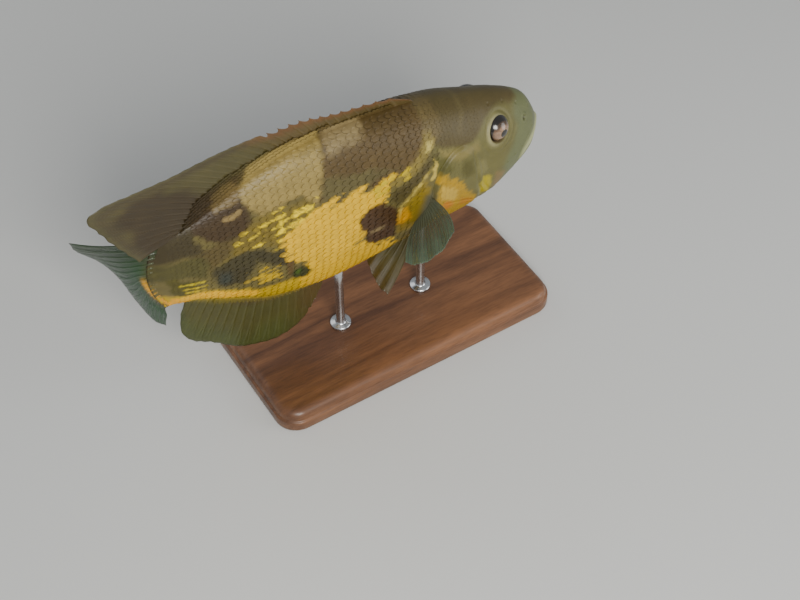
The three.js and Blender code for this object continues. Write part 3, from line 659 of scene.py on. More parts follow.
def makeSkin():
    rings = []  # (share along, number of points)
    for i in range(skin["headRings"] + 1):
        share = (i / skin["headRings"]) ** skin["bunch"]
        rings.append((mix(skin["start"], skin["headEnd"], share), skin["around"]))
    for first, last, count in (("headEnd", "midEnd", "midRings"), ("midEnd", "end", "endRings")):
        for i in range(1, skin[count] + 1):
            rings.append((mix(skin[first], skin[last], i / skin[count]), skin["around"] // 2))
    along, angles, firsts = [], [], []
    for s, count in rings:
        firsts.append(sum(len(a) for a in angles))
        angle = np.arange(count) / count * 2 * math.pi
        past = max(0.0, (s - skin["midEnd"]) / (1 - skin["midEnd"]))
        along.append(s + past * (stalkEnd(np.cos(angle)) - 1))
        angles.append(angle)
    s, angle = np.concatenate(along), np.concatenate(angles)
    points, h = skinAt(s, angle)
    faces = []
    for (_, count), (_, following), first, second in zip(rings, rings[1:], firsts, firsts[1:]):
        for j in range(following):
            if count == following:
                a, b = first + j, first + (j + 1) % count
                faces.append((b, a, second + j, second + (j + 1) % count))
            else:
                a, b, c = (first + (2 * j + k) % count for k in range(3))
                d, e = second + j, second + (j + 1) % following
                faces += [(b, a, d), (b, d, e), (c, b, e)]
    tips = [points[:skin["around"]].mean(0), points[firsts[-1]:].mean(0)]
    points = np.concatenate([points, tips])
    nose, end = len(points) - 2, len(points) - 1
    faces += [(j, (j + 1) % skin["around"], nose) for j in range(skin["around"])]
    last, count = firsts[-1], rings[-1][1]
    faces += [(last + (j + 1) % count, last + j, end) for j in range(count)]
    piece = meshObject("oscar_skin", points, faces, skinMaterial())
    s = np.append(s, [0, 1.03])
    angle = np.append(angle, [math.pi / 2, math.pi / 2])
    h = np.append(h, [body["noseHeight"], 0])
    side = np.where(np.sin(angle) < 0, -1.0, 1.0)
    addValues(piece, "coat", "FLOAT_COLOR", coatColour(s, h, angle, side))
    addMap(piece, np.stack([0.02 + 0.93 * s, 0.02 + 0.96 * angle / (2 * math.pi)], -1))
    flesh = ("head", "lower_jaw", "trunk", "tail_stalk", "gill_cover_right", "gill_cover_left")
    return finishPiece(piece, "skin", *flesh)


skinPiece = makeSkin()
print("skin made:", len(skinPiece.data.polygons), "faces")


# Scales: plates spread by Geometry Nodes on a flat map of each flank, then laid on the skin
scales = {
    "gapAlong": 0.0043, "gapUp": 0.0040, "length": 1.95, "width": 1.3,  # the last two are shares of the gaps
    "rootDepth": 0.00035, "tipRise": 0.0004, "thick": 0.00013, "dome": 0.00011,
    "turn": 0.06, "vary": 0.06, "seed": 21, "firstColumn": 0.105, "lastTip": 0.974, "clearOfEye": 12,
    "rings": 60.0, "sink": 0.00012, "patch": 0.003,  # each scale's patch on the bake map
}
scaleSize = curveThrough([
    [0.1, 0.5], [0.2, 0.52], [0.29, 0.62], [0.36, 0.84], [0.43, 1],
    [0.7, 0.96], [0.86, 0.8], [0.97, 0.62], [1.03, 0.5]])
scaledAreas = {  # side-view outlines of where scales grow
    "behind": [[0.235, 0.09], [0.3, 0.115], [0.335, 0.085], [0.356, 0.03], [0.352, -0.06], [0.31, -0.135],
               [0.27, -0.165], [0.26, -0.4], [1.2, -0.4], [1.2, 0.4], [0.2, 0.4], [0.2, 0.13]],
    "cheek": [[0.2, 0.035], [0.214, 0.0], [0.205, -0.04], [0.185, -0.07], [0.15, -0.082], [0.12, -0.06],
              [0.115, -0.015], [0.14, -0.004], [0.18, 0.004]],
    "plate": [[0.252, 0.085], [0.3, 0.09], [0.33, 0.055], [0.343, 0.01], [0.335, -0.03], [0.3, -0.05],
              [0.25, -0.066], [0.245, -0.02], [0.252, 0.03]],
    "lower": [[0.33, -0.052], [0.3, -0.066], [0.25, -0.084], [0.245, -0.11], [0.28, -0.12], [0.31, -0.1]],
}
bareRoots = [  # lines that scales keep clear of, by these millimetres: the paired fins' roots
    ([[0.36, 0.0], [0.37, -0.03], [0.376, -0.068]], 3.4), ([[0.355, -0.176], [0.4, -0.19]], 2)]


def girthTable():  # angle for each share along and each distance round the skin from the flank's middle
    shares = np.linspace(0.1, 1.04, 190)
    angle = np.linspace(0, math.pi, 241)
    distance = np.linspace(-0.16, 0.16, 641)
    rows = []
    for s in shares:
        points, _ = bodyAt(np.full(angle.shape, s), angle)
        run = np.concatenate([[0], np.cumsum(np.linalg.norm(np.diff(points, axis=0), axis=1))])
        run -= np.interp(math.pi / 2, angle, run)
        beyond = np.concatenate([2 * run[0] - run[:0:-1], run, 2 * run[-1] - run[-2::-1]])
        wide = np.concatenate([-angle[:0:-1], angle, 2 * math.pi - angle[-2::-1]])
        rows.append(np.interp(distance, -beyond[::-1], wide[::-1]))
    return shares, distance, np.array(rows)


girthShares, girthDistances, girthAngles = girthTable()


def embed(size):  # small scales lie deeper in the skin
    return mix(0.3, 1, smoothstep(0.55, 0.92, size))


def angleAt(s, up):  # the angle of the spot that is some metres up the skin from the flank's middle
    def cells(value, grid):
        return np.clip((value - grid[0]) / (grid[1] - grid[0]), 0, len(grid) - 1.001)
    i, j = cells(s, girthShares), cells(up, girthDistances)
    a, b = i.astype(int), j.astype(int)
    t, u = i - a, j - b
    table = girthAngles
    return mix(mix(table[a, b], table[a + 1, b], t), mix(table[a, b + 1], table[a + 1, b + 1], t), u)


def isScaled(s, h, angle):  # where scales grow
    cover = toOutline(s, h, coverOutline) * millimetres
    fromEye = awayFrom(s, h, head["eyeS"], head["eyeH"])
    inside = {name: toOutline(s, h, outline) > 0 for name, outline in scaledAreas.items()}
    nape = (s > 0.19) & (h > 0.13)
    grows = (inside["behind"] & (cover < -2.2)) | inside["cheek"] | inside["plate"] | inside["lower"] | nape
    return grows & (fromEye > scales["clearOfEye"])


def scaleSpots(side):  # places on the flat map: x along, y up from the flank's middle, in metres
    rng = np.random.default_rng(scales["seed"] + side)
    spots = []
    s, column = scales["firstColumn"], 0
    while s < 1.0:
        size = float(scaleSize(s))
        rows = np.arange(-40, 41) + 0.5 * (column % 2)
        up = rows * scales["gapUp"] * size
        spots.append(np.stack([np.full(up.shape, s), up, np.full(up.shape, size)], -1))
        s += scales["gapAlong"] * size / scale
        column += 1
    s, up, size = np.concatenate(spots).T
    reach = 0.62 * scales["length"] * scales["gapAlong"] * size
    half = 0.4 * scales["width"] * scales["gapUp"] * size
    keep = np.ones(s.shape, bool)
    for ahead, over in ((0.1, 0), (1, 0), (0.6, -1), (0.6, 1)):
        tipS = s + ahead * reach / scale
        angle = angleAt(tipS, up + over * half)
        _, h = bodyAt(tipS, angle)
        keep &= isScaled(tipS, h, angle) & (angle > 0.012) & (angle < math.pi - 0.012)
        keep &= tipS < scales["lastTip"]
        for line, clear in bareRoots:
            keep &= toOutline(tipS, h, line, closed=False) * millimetres > clear
    s, up, size = s[keep], up[keep], size[keep]
    jitter = rng.uniform(-1, 1, (len(s), 4))
    return {"x": scale * s + 0.00014 * jitter[:, 0], "y": up + 0.0002 * jitter[:, 1],
            "size": size * (1 + scales["vary"] * jitter[:, 2]), "turn": scales["turn"] * jitter[:, 3]}


def scalePlate():  # one scale, its root at the origin, its free edge towards +X, closed underneath by a fan
    halves = 2
    length = scales["length"] * scales["gapAlong"]
    width = scales["width"] * scales["gapUp"]
    points, plan = [], []
    stations = [0, 0.25, 0.46, 0.64, 0.8, 0.92, 1]
    steps = len(stations) - 1
    for x in stations:
        wide = 1 - 0.3 * (1 - x / 0.46) ** 2 if x < 0.46 else math.sqrt(1.04 - ((x - 0.46) / 0.54) ** 2)
        for j in range(-halves, halves + 1):
            y = j / halves
            edge = 1 - abs(y) ** 2.4
            rise = mix(-scales["rootDepth"], scales["tipRise"], x ** 1.15)
            rise += scales["dome"] * edge - scales["sink"] * abs(y)
            points.append((x * length - 0.04 * length * y * y * (x > 0.7), 0.5 * width * y * wide, rise))
            plan.append((x, 0.5 + 0.5 * y))
    across = 2 * halves + 1
    top = [(i * across + j, (i + 1) * across + j, (i + 1) * across + j + 1, i * across + j + 1)
           for i in range(steps) for j in range(across - 1)]
    rim = list(range(across)) + [i * across + across - 1 for i in range(1, steps + 1)]
    rim += [steps * across + j for j in range(across - 2, -1, -1)]
    rim += [i * across for i in range(steps - 1, 0, -1)]
    low = len(points)
    for k in rim:
        x, y, z = points[k]
        points.append((x, y, z - scales["thick"]))
        plan.append(plan[k])
    points.append((0.5 * length, 0, -0.0002))
    plan.append((0.5, 0.5))
    faces = list(top)
    for k, a in enumerate(rim):
        b, n = rim[(k + 1) % len(rim)], (k + 1) % len(rim)
        faces += [(b, a, low + k, low + n), (low + n, low + k, len(points) - 1)]
    mesh = bpy.data.meshes.new("scale_plate")
    mesh.from_pydata(points, [], faces)
    plate = bpy.data.objects.new("scale_plate", mesh)
    bpy.context.scene.collection.objects.link(plate)
    addValues(plate, "plan", "FLOAT_VECTOR", [(x, y, 0) for x, y in plan])
    return plate


def spreadTree(material, plate):  # puts the plate on every point, turned and sized by the points' values
    tree = bpy.data.node_groups.new("scaleSpread", "GeometryNodeTree")
    tree.interface.new_socket("Geometry", in_out="INPUT", socket_type="NodeSocketGeometry")
    tree.interface.new_socket("Plate Size", in_out="INPUT", socket_type="NodeSocketFloat")
    tree.interface.new_socket("Geometry", in_out="OUTPUT", socket_type="NodeSocketGeometry")
    nodes, links = tree.nodes, tree.links
    source, result = nodes.new("NodeGroupInput"), nodes.new("NodeGroupOutput")
    plateInfo = nodes.new("GeometryNodeObjectInfo")
    plateInfo.inputs["Object"].default_value = plate
    spread = nodes.new("GeometryNodeInstanceOnPoints")
    size, turn = nodes.new("GeometryNodeInputNamedAttribute"), nodes.new("GeometryNodeInputNamedAttribute")
    size.inputs["Name"].default_value = "size"
    turn.inputs["Name"].default_value = "turn"
    multiply = nodes.new("ShaderNodeMath")
    multiply.operation = "MULTIPLY"
    toTurn = nodes.new("ShaderNodeCombineXYZ")
    toScale = nodes.new("ShaderNodeCombineXYZ")
    toScale.inputs["Z"].default_value = 1.0
    realize, setMaterial = nodes.new("GeometryNodeRealizeInstances"), nodes.new("GeometryNodeSetMaterial")
    setMaterial.inputs["Material"].default_value = material
    links.new(source.outputs["Geometry"], spread.inputs["Points"])
    links.new(plateInfo.outputs["Geometry"], spread.inputs["Instance"])
    links.new(size.outputs["Attribute"], multiply.inputs[0])
    links.new(source.outputs["Plate Size"], multiply.inputs[1])
    links.new(multiply.outputs["Value"], toScale.inputs["X"])
    links.new(multiply.outputs["Value"], toScale.inputs["Y"])
    links.new(toScale.outputs["Vector"], spread.inputs["Scale"])
    links.new(turn.outputs["Attribute"], toTurn.inputs["Z"])
    links.new(toTurn.outputs["Vector"], spread.inputs["Rotation"])
    links.new(spread.outputs["Instances"], realize.inputs["Geometry"])
    links.new(realize.outputs["Geometry"], setMaterial.inputs["Geometry"])
    links.new(setMaterial.outputs["Geometry"], result.inputs["Geometry"])
    return tree


def readPoints(mesh, name, width):
    values = np.empty(len(mesh.attributes[name].data) * width, np.float32)
    field = "vector" if width == 3 else "value"
    mesh.attributes[name].data.foreach_get(field, values)
    return values.reshape(-1, width) if width > 1 else values


def makeScales(name, spots, lay, colourAt, mapAt, flip):
    count = len(spots["x"])
    flatSpots = np.stack([spots["x"], spots["y"], 0 * spots["x"]], -1)
    holder = meshObject(name + "_spots", flatSpots, [], scaleFinish)
    addValues(holder, "size", "FLOAT", spots["size"])
    addValues(holder, "turn", "FLOAT", spots["turn"])
    addValues(holder, "which", "FLOAT", np.arange(count))
    modifier = holder.modifiers.new("spread", "NODES")
    modifier.node_group = spreadScales
    socket = next(item for item in spreadScales.interface.items_tree if item.name == "Plate Size")
    modifier[socket.identifier] = 1.0
    bpy.context.view_layer.update()
    mesh = bpy.data.meshes.new_from_object(holder.evaluated_get(bpy.context.evaluated_depsgraph_get()))
    mesh.name = name
    piece = bpy.data.objects.new(name, mesh)
    bpy.context.scene.collection.objects.link(piece)
    holder.modifiers.clear()
    bpy.data.objects.remove(holder)
    flat = np.empty(len(mesh.vertices) * 3, np.float32)
    mesh.vertices.foreach_get("co", flat)
    x, y, lift = flat.reshape(-1, 3).astype(float).T
    which, plan = np.rint(readPoints(mesh, "which", 1)).astype(int), readPoints(mesh, "plan", 3)
    mesh.vertices.foreach_set("co", lay(x, y, lift, spots["size"][which]).astype(np.float32).ravel())
    if flip:
        mesh.flip_normals()
    # each scale is a little darker at its root, painted shade where it lies under the scale ahead, and
    # lighter before its free edge
    middle = spots["x"] + 0.6 * scales["length"] * scales["gapAlong"] * spots["size"]
    rng = np.random.default_rng(scales["seed"] * 3 + count)
    shade = 1 + 0.07 * rng.uniform(-1, 1, count)
    edge = plan[:, 0] + 0.25 * np.abs(plan[:, 1] * 2 - 1)
    # rim: painted shade towards the root, lighter before the free edge, a little darker right at it
    rim = 0.9 + 0.14 * smoothstep(0.4, 0.75, edge) - 0.12 * smoothstep(0.93, 1.02, edge)
    colour = mix(colourAt(middle, spots["y"])[which], colourAt(x, y), 0.7) * (shade[which] * rim)[:, None]
    addValues(piece, "coat", "FLOAT_COLOR", np.clip(colour, 0, 1))
    addValues(piece, "plate", "FLOAT_VECTOR", plan)
    for extra in ("size", "turn", "which", "plan"):
        if extra in mesh.attributes:
            mesh.attributes.remove(mesh.attributes[extra])
    # each scale's patch on the bake map sits at its root's place on the surface's own unwrap
    addMap(piece, mapAt(spots["x"], spots["y"])[which] + (plan[:, :2] - [0, 0.5]) * scales["patch"])
    mesh.shade_smooth()
    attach(piece, "root")
    print(name, "made:", count, "scales,", sum(len(f.vertices) - 2 for f in mesh.polygons), "triangles")


def flankScales(name, side):
    def lay(x, y, lift, size):
        share = embed(size)
        return skinAt(x / scale, angleAt(x / scale, y) * side, lift * share - scales["sink"] * (1 - share))[0]

    def colourAt(x, y):
        angle = angleAt(x / scale, y)
        return coatColour(x / scale, bodyAt(x / scale, angle)[1], angle, np.full(x.shape, float(side)))

    def mapAt(x, y):
        return np.stack([0.02 + 0.92 * x / scale, 0.5 + 2.9 * y], -1)
    makeScales(name, scaleSpots(side), lay, colourAt, mapAt, side < 0)


scaleFinish = scaleMaterial()
plateObject = scalePlate()
spreadScales = spreadTree(scaleFinish, plateObject)
for sideName, sideSign in sides.items():
    flankScales("scales_" + sideName, sideSign)


# Fins
finDefaults = {
    "perRay": 14, "rows": 34, "film": 0.00038, "filmTip": 0.00022, "ridge": 0.0014, "ridgeTip": 0.0005,
    "rootThick": 0.0016, "rootFade": 0.07, "ragged": 0.008, "crowd": 1,
}
finJoints = 230.0  # radians of banding from a ray's root to its tip


def finNormal(at, across, out):
    step = 1e-3
    ahead = at(np.minimum(across + step, 1), out) - at(np.maximum(across - step, 0), out)
    outward = at(across, out + step) - at(across, np.maximum(out - step, 0))
    normal = np.cross(ahead, outward)
    return normal / (np.linalg.norm(normal, axis=1, keepdims=True) + 1e-18)


def finSurface(name, at, spec, material, colourOf, seed):
    spec = {**finDefaults, **spec}
    rays = spec["rays"]
    columns = (rays - 1) * spec["perRay"] + 1
    a = np.linspace(0, 1, columns) ** (1 / spec["crowd"])
    out = (np.arange(spec["rows"] + 1) / spec["rows"]) ** 0.92
    across, along = np.meshgrid(a, out, indexing="ij")
    count = across ** spec["crowd"] * (rays - 1)
    fromRay = count - np.rint(count)
    spiny = count < spec.get("spines", 0) - 0.5
    notch = np.where(spiny, spec.get("spinyNotch", 0.1), spec.get("notch", 0.02))
    tooth = np.where(spiny, np.sin(math.pi * np.mod(count, 1)) ** 0.7, np.abs(np.sin(math.pi * count)))
    flatCount = count.ravel()
    rough = softNoise(np.stack([flatCount * 1.7, 0 * flatCount, 0 * flatCount + seed], -1), 1.0, seed)
    rough = rough.reshape(count.shape) * spec["ragged"] * np.where(spiny, 0.3, 1)
    reach = (along * (1 - (notch * tooth + np.abs(rough)))).ravel()
    points, normal = at(across.ravel(), reach), finNormal(at, across.ravel(), reach)
    # rays fork twice towards the margin, and spines stay whole
    fork = np.where(spiny, 0, 0.2 * smoothstep(0.35, 0.95, along))
    twig = np.where(spiny, 0, 0.085 * smoothstep(0.62, 1.0, along))
    girth = mix(0.15, 0.075, along) * np.where(spiny, mix(1.15, 0.6, along), 1)
    onRay = np.zeros(count.shape)
    for sign in (-1, 1):
        for twist in (-1, 1):
            onRay = np.maximum(onRay, np.exp(-((fromRay - sign * fork - twist * twig) / girth) ** 2))
    ridge = mix(spec["ridge"], spec["ridgeTip"], along ** 0.8)
    film = mix(spec["film"], spec["filmTip"], along)
    beads = 1 + 0.12 * np.sin(along * 210) * (~spiny) * smoothstep(0.15, 0.3, along)
    thick = film + (ridge - film) * onRay * beads + spec["rootThick"] * np.exp(-along / spec["rootFade"])
    thick *= mix(1, 0.35, smoothstep(0.94, 1.0, along))
    half = (thick / 2).ravel()[:, None]
    total = columns * (spec["rows"] + 1)
    places = np.concatenate([points + normal * half, points - normal * half])
    index = np.arange(total).reshape(columns, -1)
    p, q, r, t = index[:-1, :-1], index[1:, :-1], index[1:, 1:], index[:-1, 1:]
    front = np.stack([p, q, r, t], -1).reshape(-1, 4)
    faces = [tuple(f) for f in front] + [tuple(f[::-1] + total) for f in front]
    rim = list(index[:, 0]) + list(index[-1, 1:]) + list(index[-2::-1, -1]) + list(index[0, -2:0:-1])
    for k, start in enumerate(rim):
        following = rim[(k + 1) % len(rim)]
        faces.append((following, start, start + total, following + total))
    piece = meshObject(name, places, faces, material)
    colour, film = colourOf(across.ravel(), along.ravel(), onRay.ravel(), points)
    addValues(piece, "coat", "FLOAT_COLOR", np.clip(np.concatenate([colour, colour]), 0, 1))
    addValues(piece, "film", "FLOAT", np.concatenate([film, film]))
    rayPlace = np.stack([flatCount, along.ravel(), onRay.ravel()], -1)
    addValues(piece, "ray", "FLOAT_VECTOR", np.concatenate([rayPlace, rayPlace]))
    return piece


def ripple(across, out, high, waves, lean=2.0, start=0.3):  # a fin's slow waves
    return high * np.sin(across * waves + out * lean) * smoothstep(start, 1, out)


finSink = 0.014
dorsal = {
    "rays": 33, "spines": 13, "from": 0.335, "to": 0.93, "lean": 0.05, "spinyNotch": 0.16, "notch": 0.012,
    "bow": 0.18, "sign": 1, "crowd": 1.5, "sheath": 0.33,
}
dorsalMargin = splineThrough([
    [0.36, 0.224], [0.403, 0.25], [0.455, 0.264], [0.556, 0.281], [0.653, 0.303],
    [0.74, 0.305], [0.84, 0.297], [0.93, 0.294], [1.03, 0.3], [1.105, 0.298],
    [1.14, 0.278], [1.122, 0.235], [1.09, 0.175], [1.048, 0.108]])
anal = {
    "rays": 19, "spines": 3, "from": 0.598, "to": 0.95, "lean": 0, "spinyNotch": 0.1, "notch": 0.012,
    "bow": 0.18, "sign": -1, "perRay": 18, "sheath": 0.13,
}
analMargin = splineThrough([
    [0.613, -0.27], [0.64, -0.322], [0.69, -0.366], [0.755, -0.377], [0.84, -0.346], [0.91, -0.296],
    [0.956, -0.252], [0.972, -0.22], [0.966, -0.163]])


def middleFin(spec, edge, margin, share):
    def at(across, out):
        rootS = mix(spec["from"], spec["to"], across)
        tip = margin(share(across))
        along = mix(rootS, tip[:, 0], out)
        height = mix(edge(rootS) - spec["sign"] * finSink, tip[:, 1], 1 - (1 - out) * (1 - spec["bow"] * out))
        aside = -scale * spec["lean"] * np.maximum(out, 0) ** 1.3 * smoothstep(0.55, 1, across)
        waves = ripple(across, out, 0.0011, 19, 1.5, 0.25) * smoothstep(0.35, 0.6, across)
        return place(along, aside + waves, scale * height)
    return at


tail = {
    "rays": 16, "rootShare": 0.94, "perRay": 20, "rows": 40, "notch": 0.012, "ragged": 0.014,
    "rootThick": 0.0018, "bendSteps": 8,
}
tailLength = curveThrough([[0, 0.1], [0.25, 0.125], [0.6, 0.145], [1, 0.184]])
tailLift = curveThrough([[0, -1.28], [0.25, -1.12], [0.6, -0.61], [1, 0.08]])
tailSwing = curveThrough([[0, 0.75], [0.5, 0.67], [1, 0.17]])
tailCurl = curveThrough([[0, 1], [0.5, 1], [1, 0.35]])


def tailAt(across, out):
    top, bottom, _ = sectionAt(1.0)
    rootHeight = mix(bottom, top, across) * tail["rootShare"]
    rootS = stalkEnd(2 * across - 1) - finSink
    lift = tailLift(across) * smoothstep(-0.3, 0.5, out)
    steps = tail["bendSteps"]
    step = scale * (tailLength(across) + finSink) * out / steps
    back, left = 0 * across, 0 * across
    for i in range(steps):
        share = (i + 0.5) / steps * out
        turn = tailSwing(across) * smoothstep(0, 0.2, share) + tailCurl(across) * share
        back = back + step * np.cos(turn)
        left = left + step * np.sin(turn)
    left = left * np.cos(lift) + ripple(across, out, 0.0009, 17)
    return place(rootS + back * np.cos(lift) / scale, left, rootHeight + step * steps * np.sin(lift))


def pairedFin(spec, side):
    def toSide(direction):
        back, out, down = direction
        vector = Vector((-back, side * out, -down)).normalized()
        return np.array(vector)
    main = toSide(spec["aim"])
    wide = toSide(spec["across"])
    wide = wide - main * (wide @ main)
    wide /= np.linalg.norm(wide)
    face = np.cross(main, wide)

    def at(across, out):
        along = mix(spec["from"][0], spec["to"][0], across)
        height = mix(spec["from"][1], spec["to"][1], across)
        start = place(along, side * (flankAt(along, height) - scale * finSink), scale * height)
        length = scale * (spec["reach"](across) + finSink) * out
        aside = scale * spec["half"] * (2 * across - 1) * (1 - np.maximum(0, 1 - out) ** spec["flare"])
        bend = scale * spec["cup"] * side * out ** 2 + ripple(across, out, 0.0006, 21)
        return start + length[:, None] * main + aside[:, None] * wide + bend[:, None] * face
    return at


pectoral = {
    "rays": 14, "from": [0.366, -0.004], "to": [0.378, -0.064],
    "reach": lambda a: 0.137 * (1 - 0.22 * np.abs(2 * a - 1) ** 2.5),
    "aim": [0.385, 0.927, 0.258], "across": [0.616, -0.45, 0.362], "half": 0.052, "flare": 2.2, "cup": 0.018,
    "film": 0.0003, "filmTip": 0.00018, "ridge": 0.001, "ridgeTip": 0.00036, "rootThick": 0.0022,
    "notch": 0.01,
}
pelvic = {
    "rays": 6, "spines": 1, "from": [0.352, -0.176], "to": [0.398, -0.19], "perRay": 34, "rows": 40,
    "reach": lambda a: 0.168 - 0.094 * a ** 1.33,
    "aim": [0.968, 0.362, 0.44], "across": [0.3, -0.497, -0.312], "half": 0.039, "flare": 1.9, "cup": 0.008,
    "ridge": 0.0009, "ridgeTip": 0.0004, "rootThick": 0.002,
    "spinyNotch": 0.03, "notch": 0.01, "ragged": 0.004,
}
sheath = {  # small scales on a middle fin's base: metres out from the root line, and sizes as shares
    "first": 0.0014, "last": 0.03, "rootSize": 0.62, "tipSize": 0.4, "shrinkEnd": 0.022,
    "ends": 0.002, "past": 0.02, "shift": 0.00012, "turn": 0.08, "lift": 0.7,
}


def sheathEnd(spec, across):  # how far out the scales climb on a middle fin
    return spec["sheath"] * smoothstep(0, 0.12, across) * mix(1, 0.35, smoothstep(0.66, 0.98, across))


def bareShare(spec, across, out, noise):  # 0 with the body's markings, 1 with the fin's own colour
    end, rear = sheathEnd(spec, across) + 0.04 * noise, smoothstep(0.55, 0.85, across)
    return smoothstep(end - 0.03 - 0.28 * rear, end + 0.06 + 0.1 * rear, out)


def finColour(stops, rayTone, film=None, sheathed=None):
    def colourOf(across, out, onRay, points):
        noise, fine = softNoise(points, 0.009, 31), softNoise(points, 0.0022, 32)
        tone = stops(across, out, noise) * (1 + 0.1 * noise + 0.08 * fine)[:, None]
        tone = over(tone, tone * np.array(rayTone), 0.55 * onRay)
        if sheathed:
            end = sheathEnd(sheathed, across) + 0.04 * noise
            tone = over(baseColour(points), tone, bareShare(sheathed, across, out, noise))
            # painted shade: a darker line in the crease along the fin's base, just past where its small
            # scales end
            crease = hump(out - end - 0.03, 0.05)
            crease = crease * smoothstep(0.25, 0.5, across) * smoothstep(0.8, 0.6, across)
            tone = over(tone, paint(66, 54, 34), 0.5 * crease)
        clear = np.ones(len(out)) if film is None else np.clip(film(across, out, onRay), 0, 1)
        return tone, clear
    return colourOf


def baseColour(points):  # the body's own markings, carried on to a fin's base
    s, h = (body["snoutX"] - points[:, 0]) / scale, (points[:, 2] - body["midline"]) / scale
    below = smoothstep(-0.002, 0.012, bellyLine(s) - h)
    return over(coatColour(s, h, 0 * s, np.full(s.shape, -1.0)), paint(92, 82, 40), below)


def sheathScales(name, side, at, spec, stops):  # small scales that climb a fin's base, along its rays
    steps = np.linspace(0, 1, 60)
    rootLine = at(steps, 0 * steps)
    run = np.concatenate([[0], np.cumsum(np.linalg.norm(np.diff(rootLine, axis=0), axis=1))])
    reach = np.linalg.norm(at(steps, 0 * steps + 1) - rootLine, axis=1)
    rng = np.random.default_rng(scales["seed"] + 5 + side)
    rows, x, column = [], sheath["first"], 0
    while x < sheath["last"]:
        size = mix(sheath["rootSize"], sheath["tipSize"], smoothstep(0, sheath["shrinkEnd"], x))
        y = (np.arange(400) + 0.5 * (column % 2)) * scales["gapUp"] * size
        across = np.interp(y, run, steps)
        tip = (x + scales["gapAlong"] * size) / np.interp(across, steps, reach)
        keep = (y < run[-1] - sheath["ends"]) & (y > sheath["ends"])
        y = y[keep & (tip < sheathEnd(spec, across) + sheath["past"])]
        rows.append(np.stack([np.full(y.shape, x), y, np.full(y.shape, size)], -1))
        x += scales["gapAlong"] * size
        column += 1
    x, y, size = np.concatenate(rows).T
    jitter = rng.uniform(-1, 1, (len(x), 3)) * [sheath["shift"], sheath["shift"], sheath["turn"]]
    spots = {"x": x + jitter[:, 0], "y": y + jitter[:, 1], "size": size, "turn": jitter[:, 2]}

    def spread(x, y):
        across = np.interp(y, run, steps)
        return across, x / np.interp(across, steps, reach)

    def lay(x, y, lift, size):
        across, out = spread(x, y)
        normal = finNormal(at, across, out)
        normal *= (side * np.sign(normal[:, 1]))[:, None]
        thick = {**finDefaults, **spec}
        rest = 0.5 * (0.85 * thick["ridge"] + thick["rootThick"] * np.exp(-out / thick["rootFade"]))
        return at(across, out) + normal * (rest + sheath["lift"] * lift)[:, None]

    def colourAt(x, y):
        across, out = spread(x, y)
        bare = bareShare(spec, across, out, 0 * out)
        return over(baseColour(at(across, out)), stops(across, out, 0 * out), bare)

    def mapAt(x, y):
        return np.stack([0.03 + 0.9 * y / run[-1], 0.05 + 18 * x], -1)
    makeScales(name, spots, lay, colourAt, mapAt, (side > 0) == (spec["sign"] > 0))


def dorsalStops(across, out, noise):
    spiny = smoothstep(0.62, 0.5, across)
    core = smoothstep(0.72, 0.84, across + 0.05 * noise) * smoothstep(0.92, 0.72, out + 0.08 * noise)
    tone = over(paint(82, 76, 44), paint(58, 47, 26), core)
    tone = over(tone, paint(94, 78, 46), 0.8 * spiny)
    tone = over(tone, paint(70, 62, 40), smoothstep(0.72, 0.92, out) * (1 - spiny))
    tone = over(tone, paint(84, 80, 52), 0.7 * smoothstep(0.9, 0.98, out))
    return over(tone, paint(112, 76, 46), 0.75 * spiny * smoothstep(0.62, 0.95, out))


def analStops(across, out, noise):
    tone = over(paint(124, 112, 48), paint(76, 74, 38), smoothstep(0.03, 0.22, out + 0.05 * noise))
    tone = over(tone, paint(70, 78, 42), 0.7 * smoothstep(0.45, 0.9, out + 0.1 * noise))
    return over(tone, paint(92, 62, 34), 0.5 * smoothstep(0.35, 0.05, across))


def tailStops(across, out, noise):
    tone = over(paint(80, 80, 44), paint(48, 80, 48), smoothstep(0.03, 0.3, out + 0.08 * noise))
    tone = over(tone, paint(44, 58, 36), 0.85 * smoothstep(0.55, 0.95, across))
    hook = hump(out - 0.01 - 0.3 * across, 0.055) * smoothstep(0.6, 0.45, across)
    tone = over(tone, paint(46, 68, 44), 0.5 * smoothstep(0.75, 1, out))
    return over(tone, paint(204, 152, 20), 0.9 * hook)


def pectoralStops(across, out, noise):
    tone = over(paint(96, 94, 72), paint(98, 106, 90), smoothstep(0.03, 0.25, out))
    return over(tone, paint(108, 128, 112), smoothstep(0.35, 1, out))


def pelvicStops(across, out, noise):
    tone = over(paint(92, 82, 44), paint(76, 70, 38), smoothstep(0.02, 0.35, out + 0.1 * noise))
    return over(tone, paint(76, 62, 34), 0.8 * smoothstep(0.5, 1, out + 0.15 * noise))


def filmShare(tip, start, end, ray):  # a film that clears towards the margin, and less so on its rays
    return lambda across, out, onRay: mix(1, tip, smoothstep(start, end, out)) + ray * onRay


finFinishes = {"fin_dark": finMaterial("fin_dark"), "fin_clear": finMaterial("fin_clear", 0.36, clear=True)}


def makeFin(name, slot, at, spec, colourOf, seed):
    piece = finSurface("oscar_" + name, at, spec, finFinishes[slot], colourOf, seed)
    finishPiece(piece, slot, name)


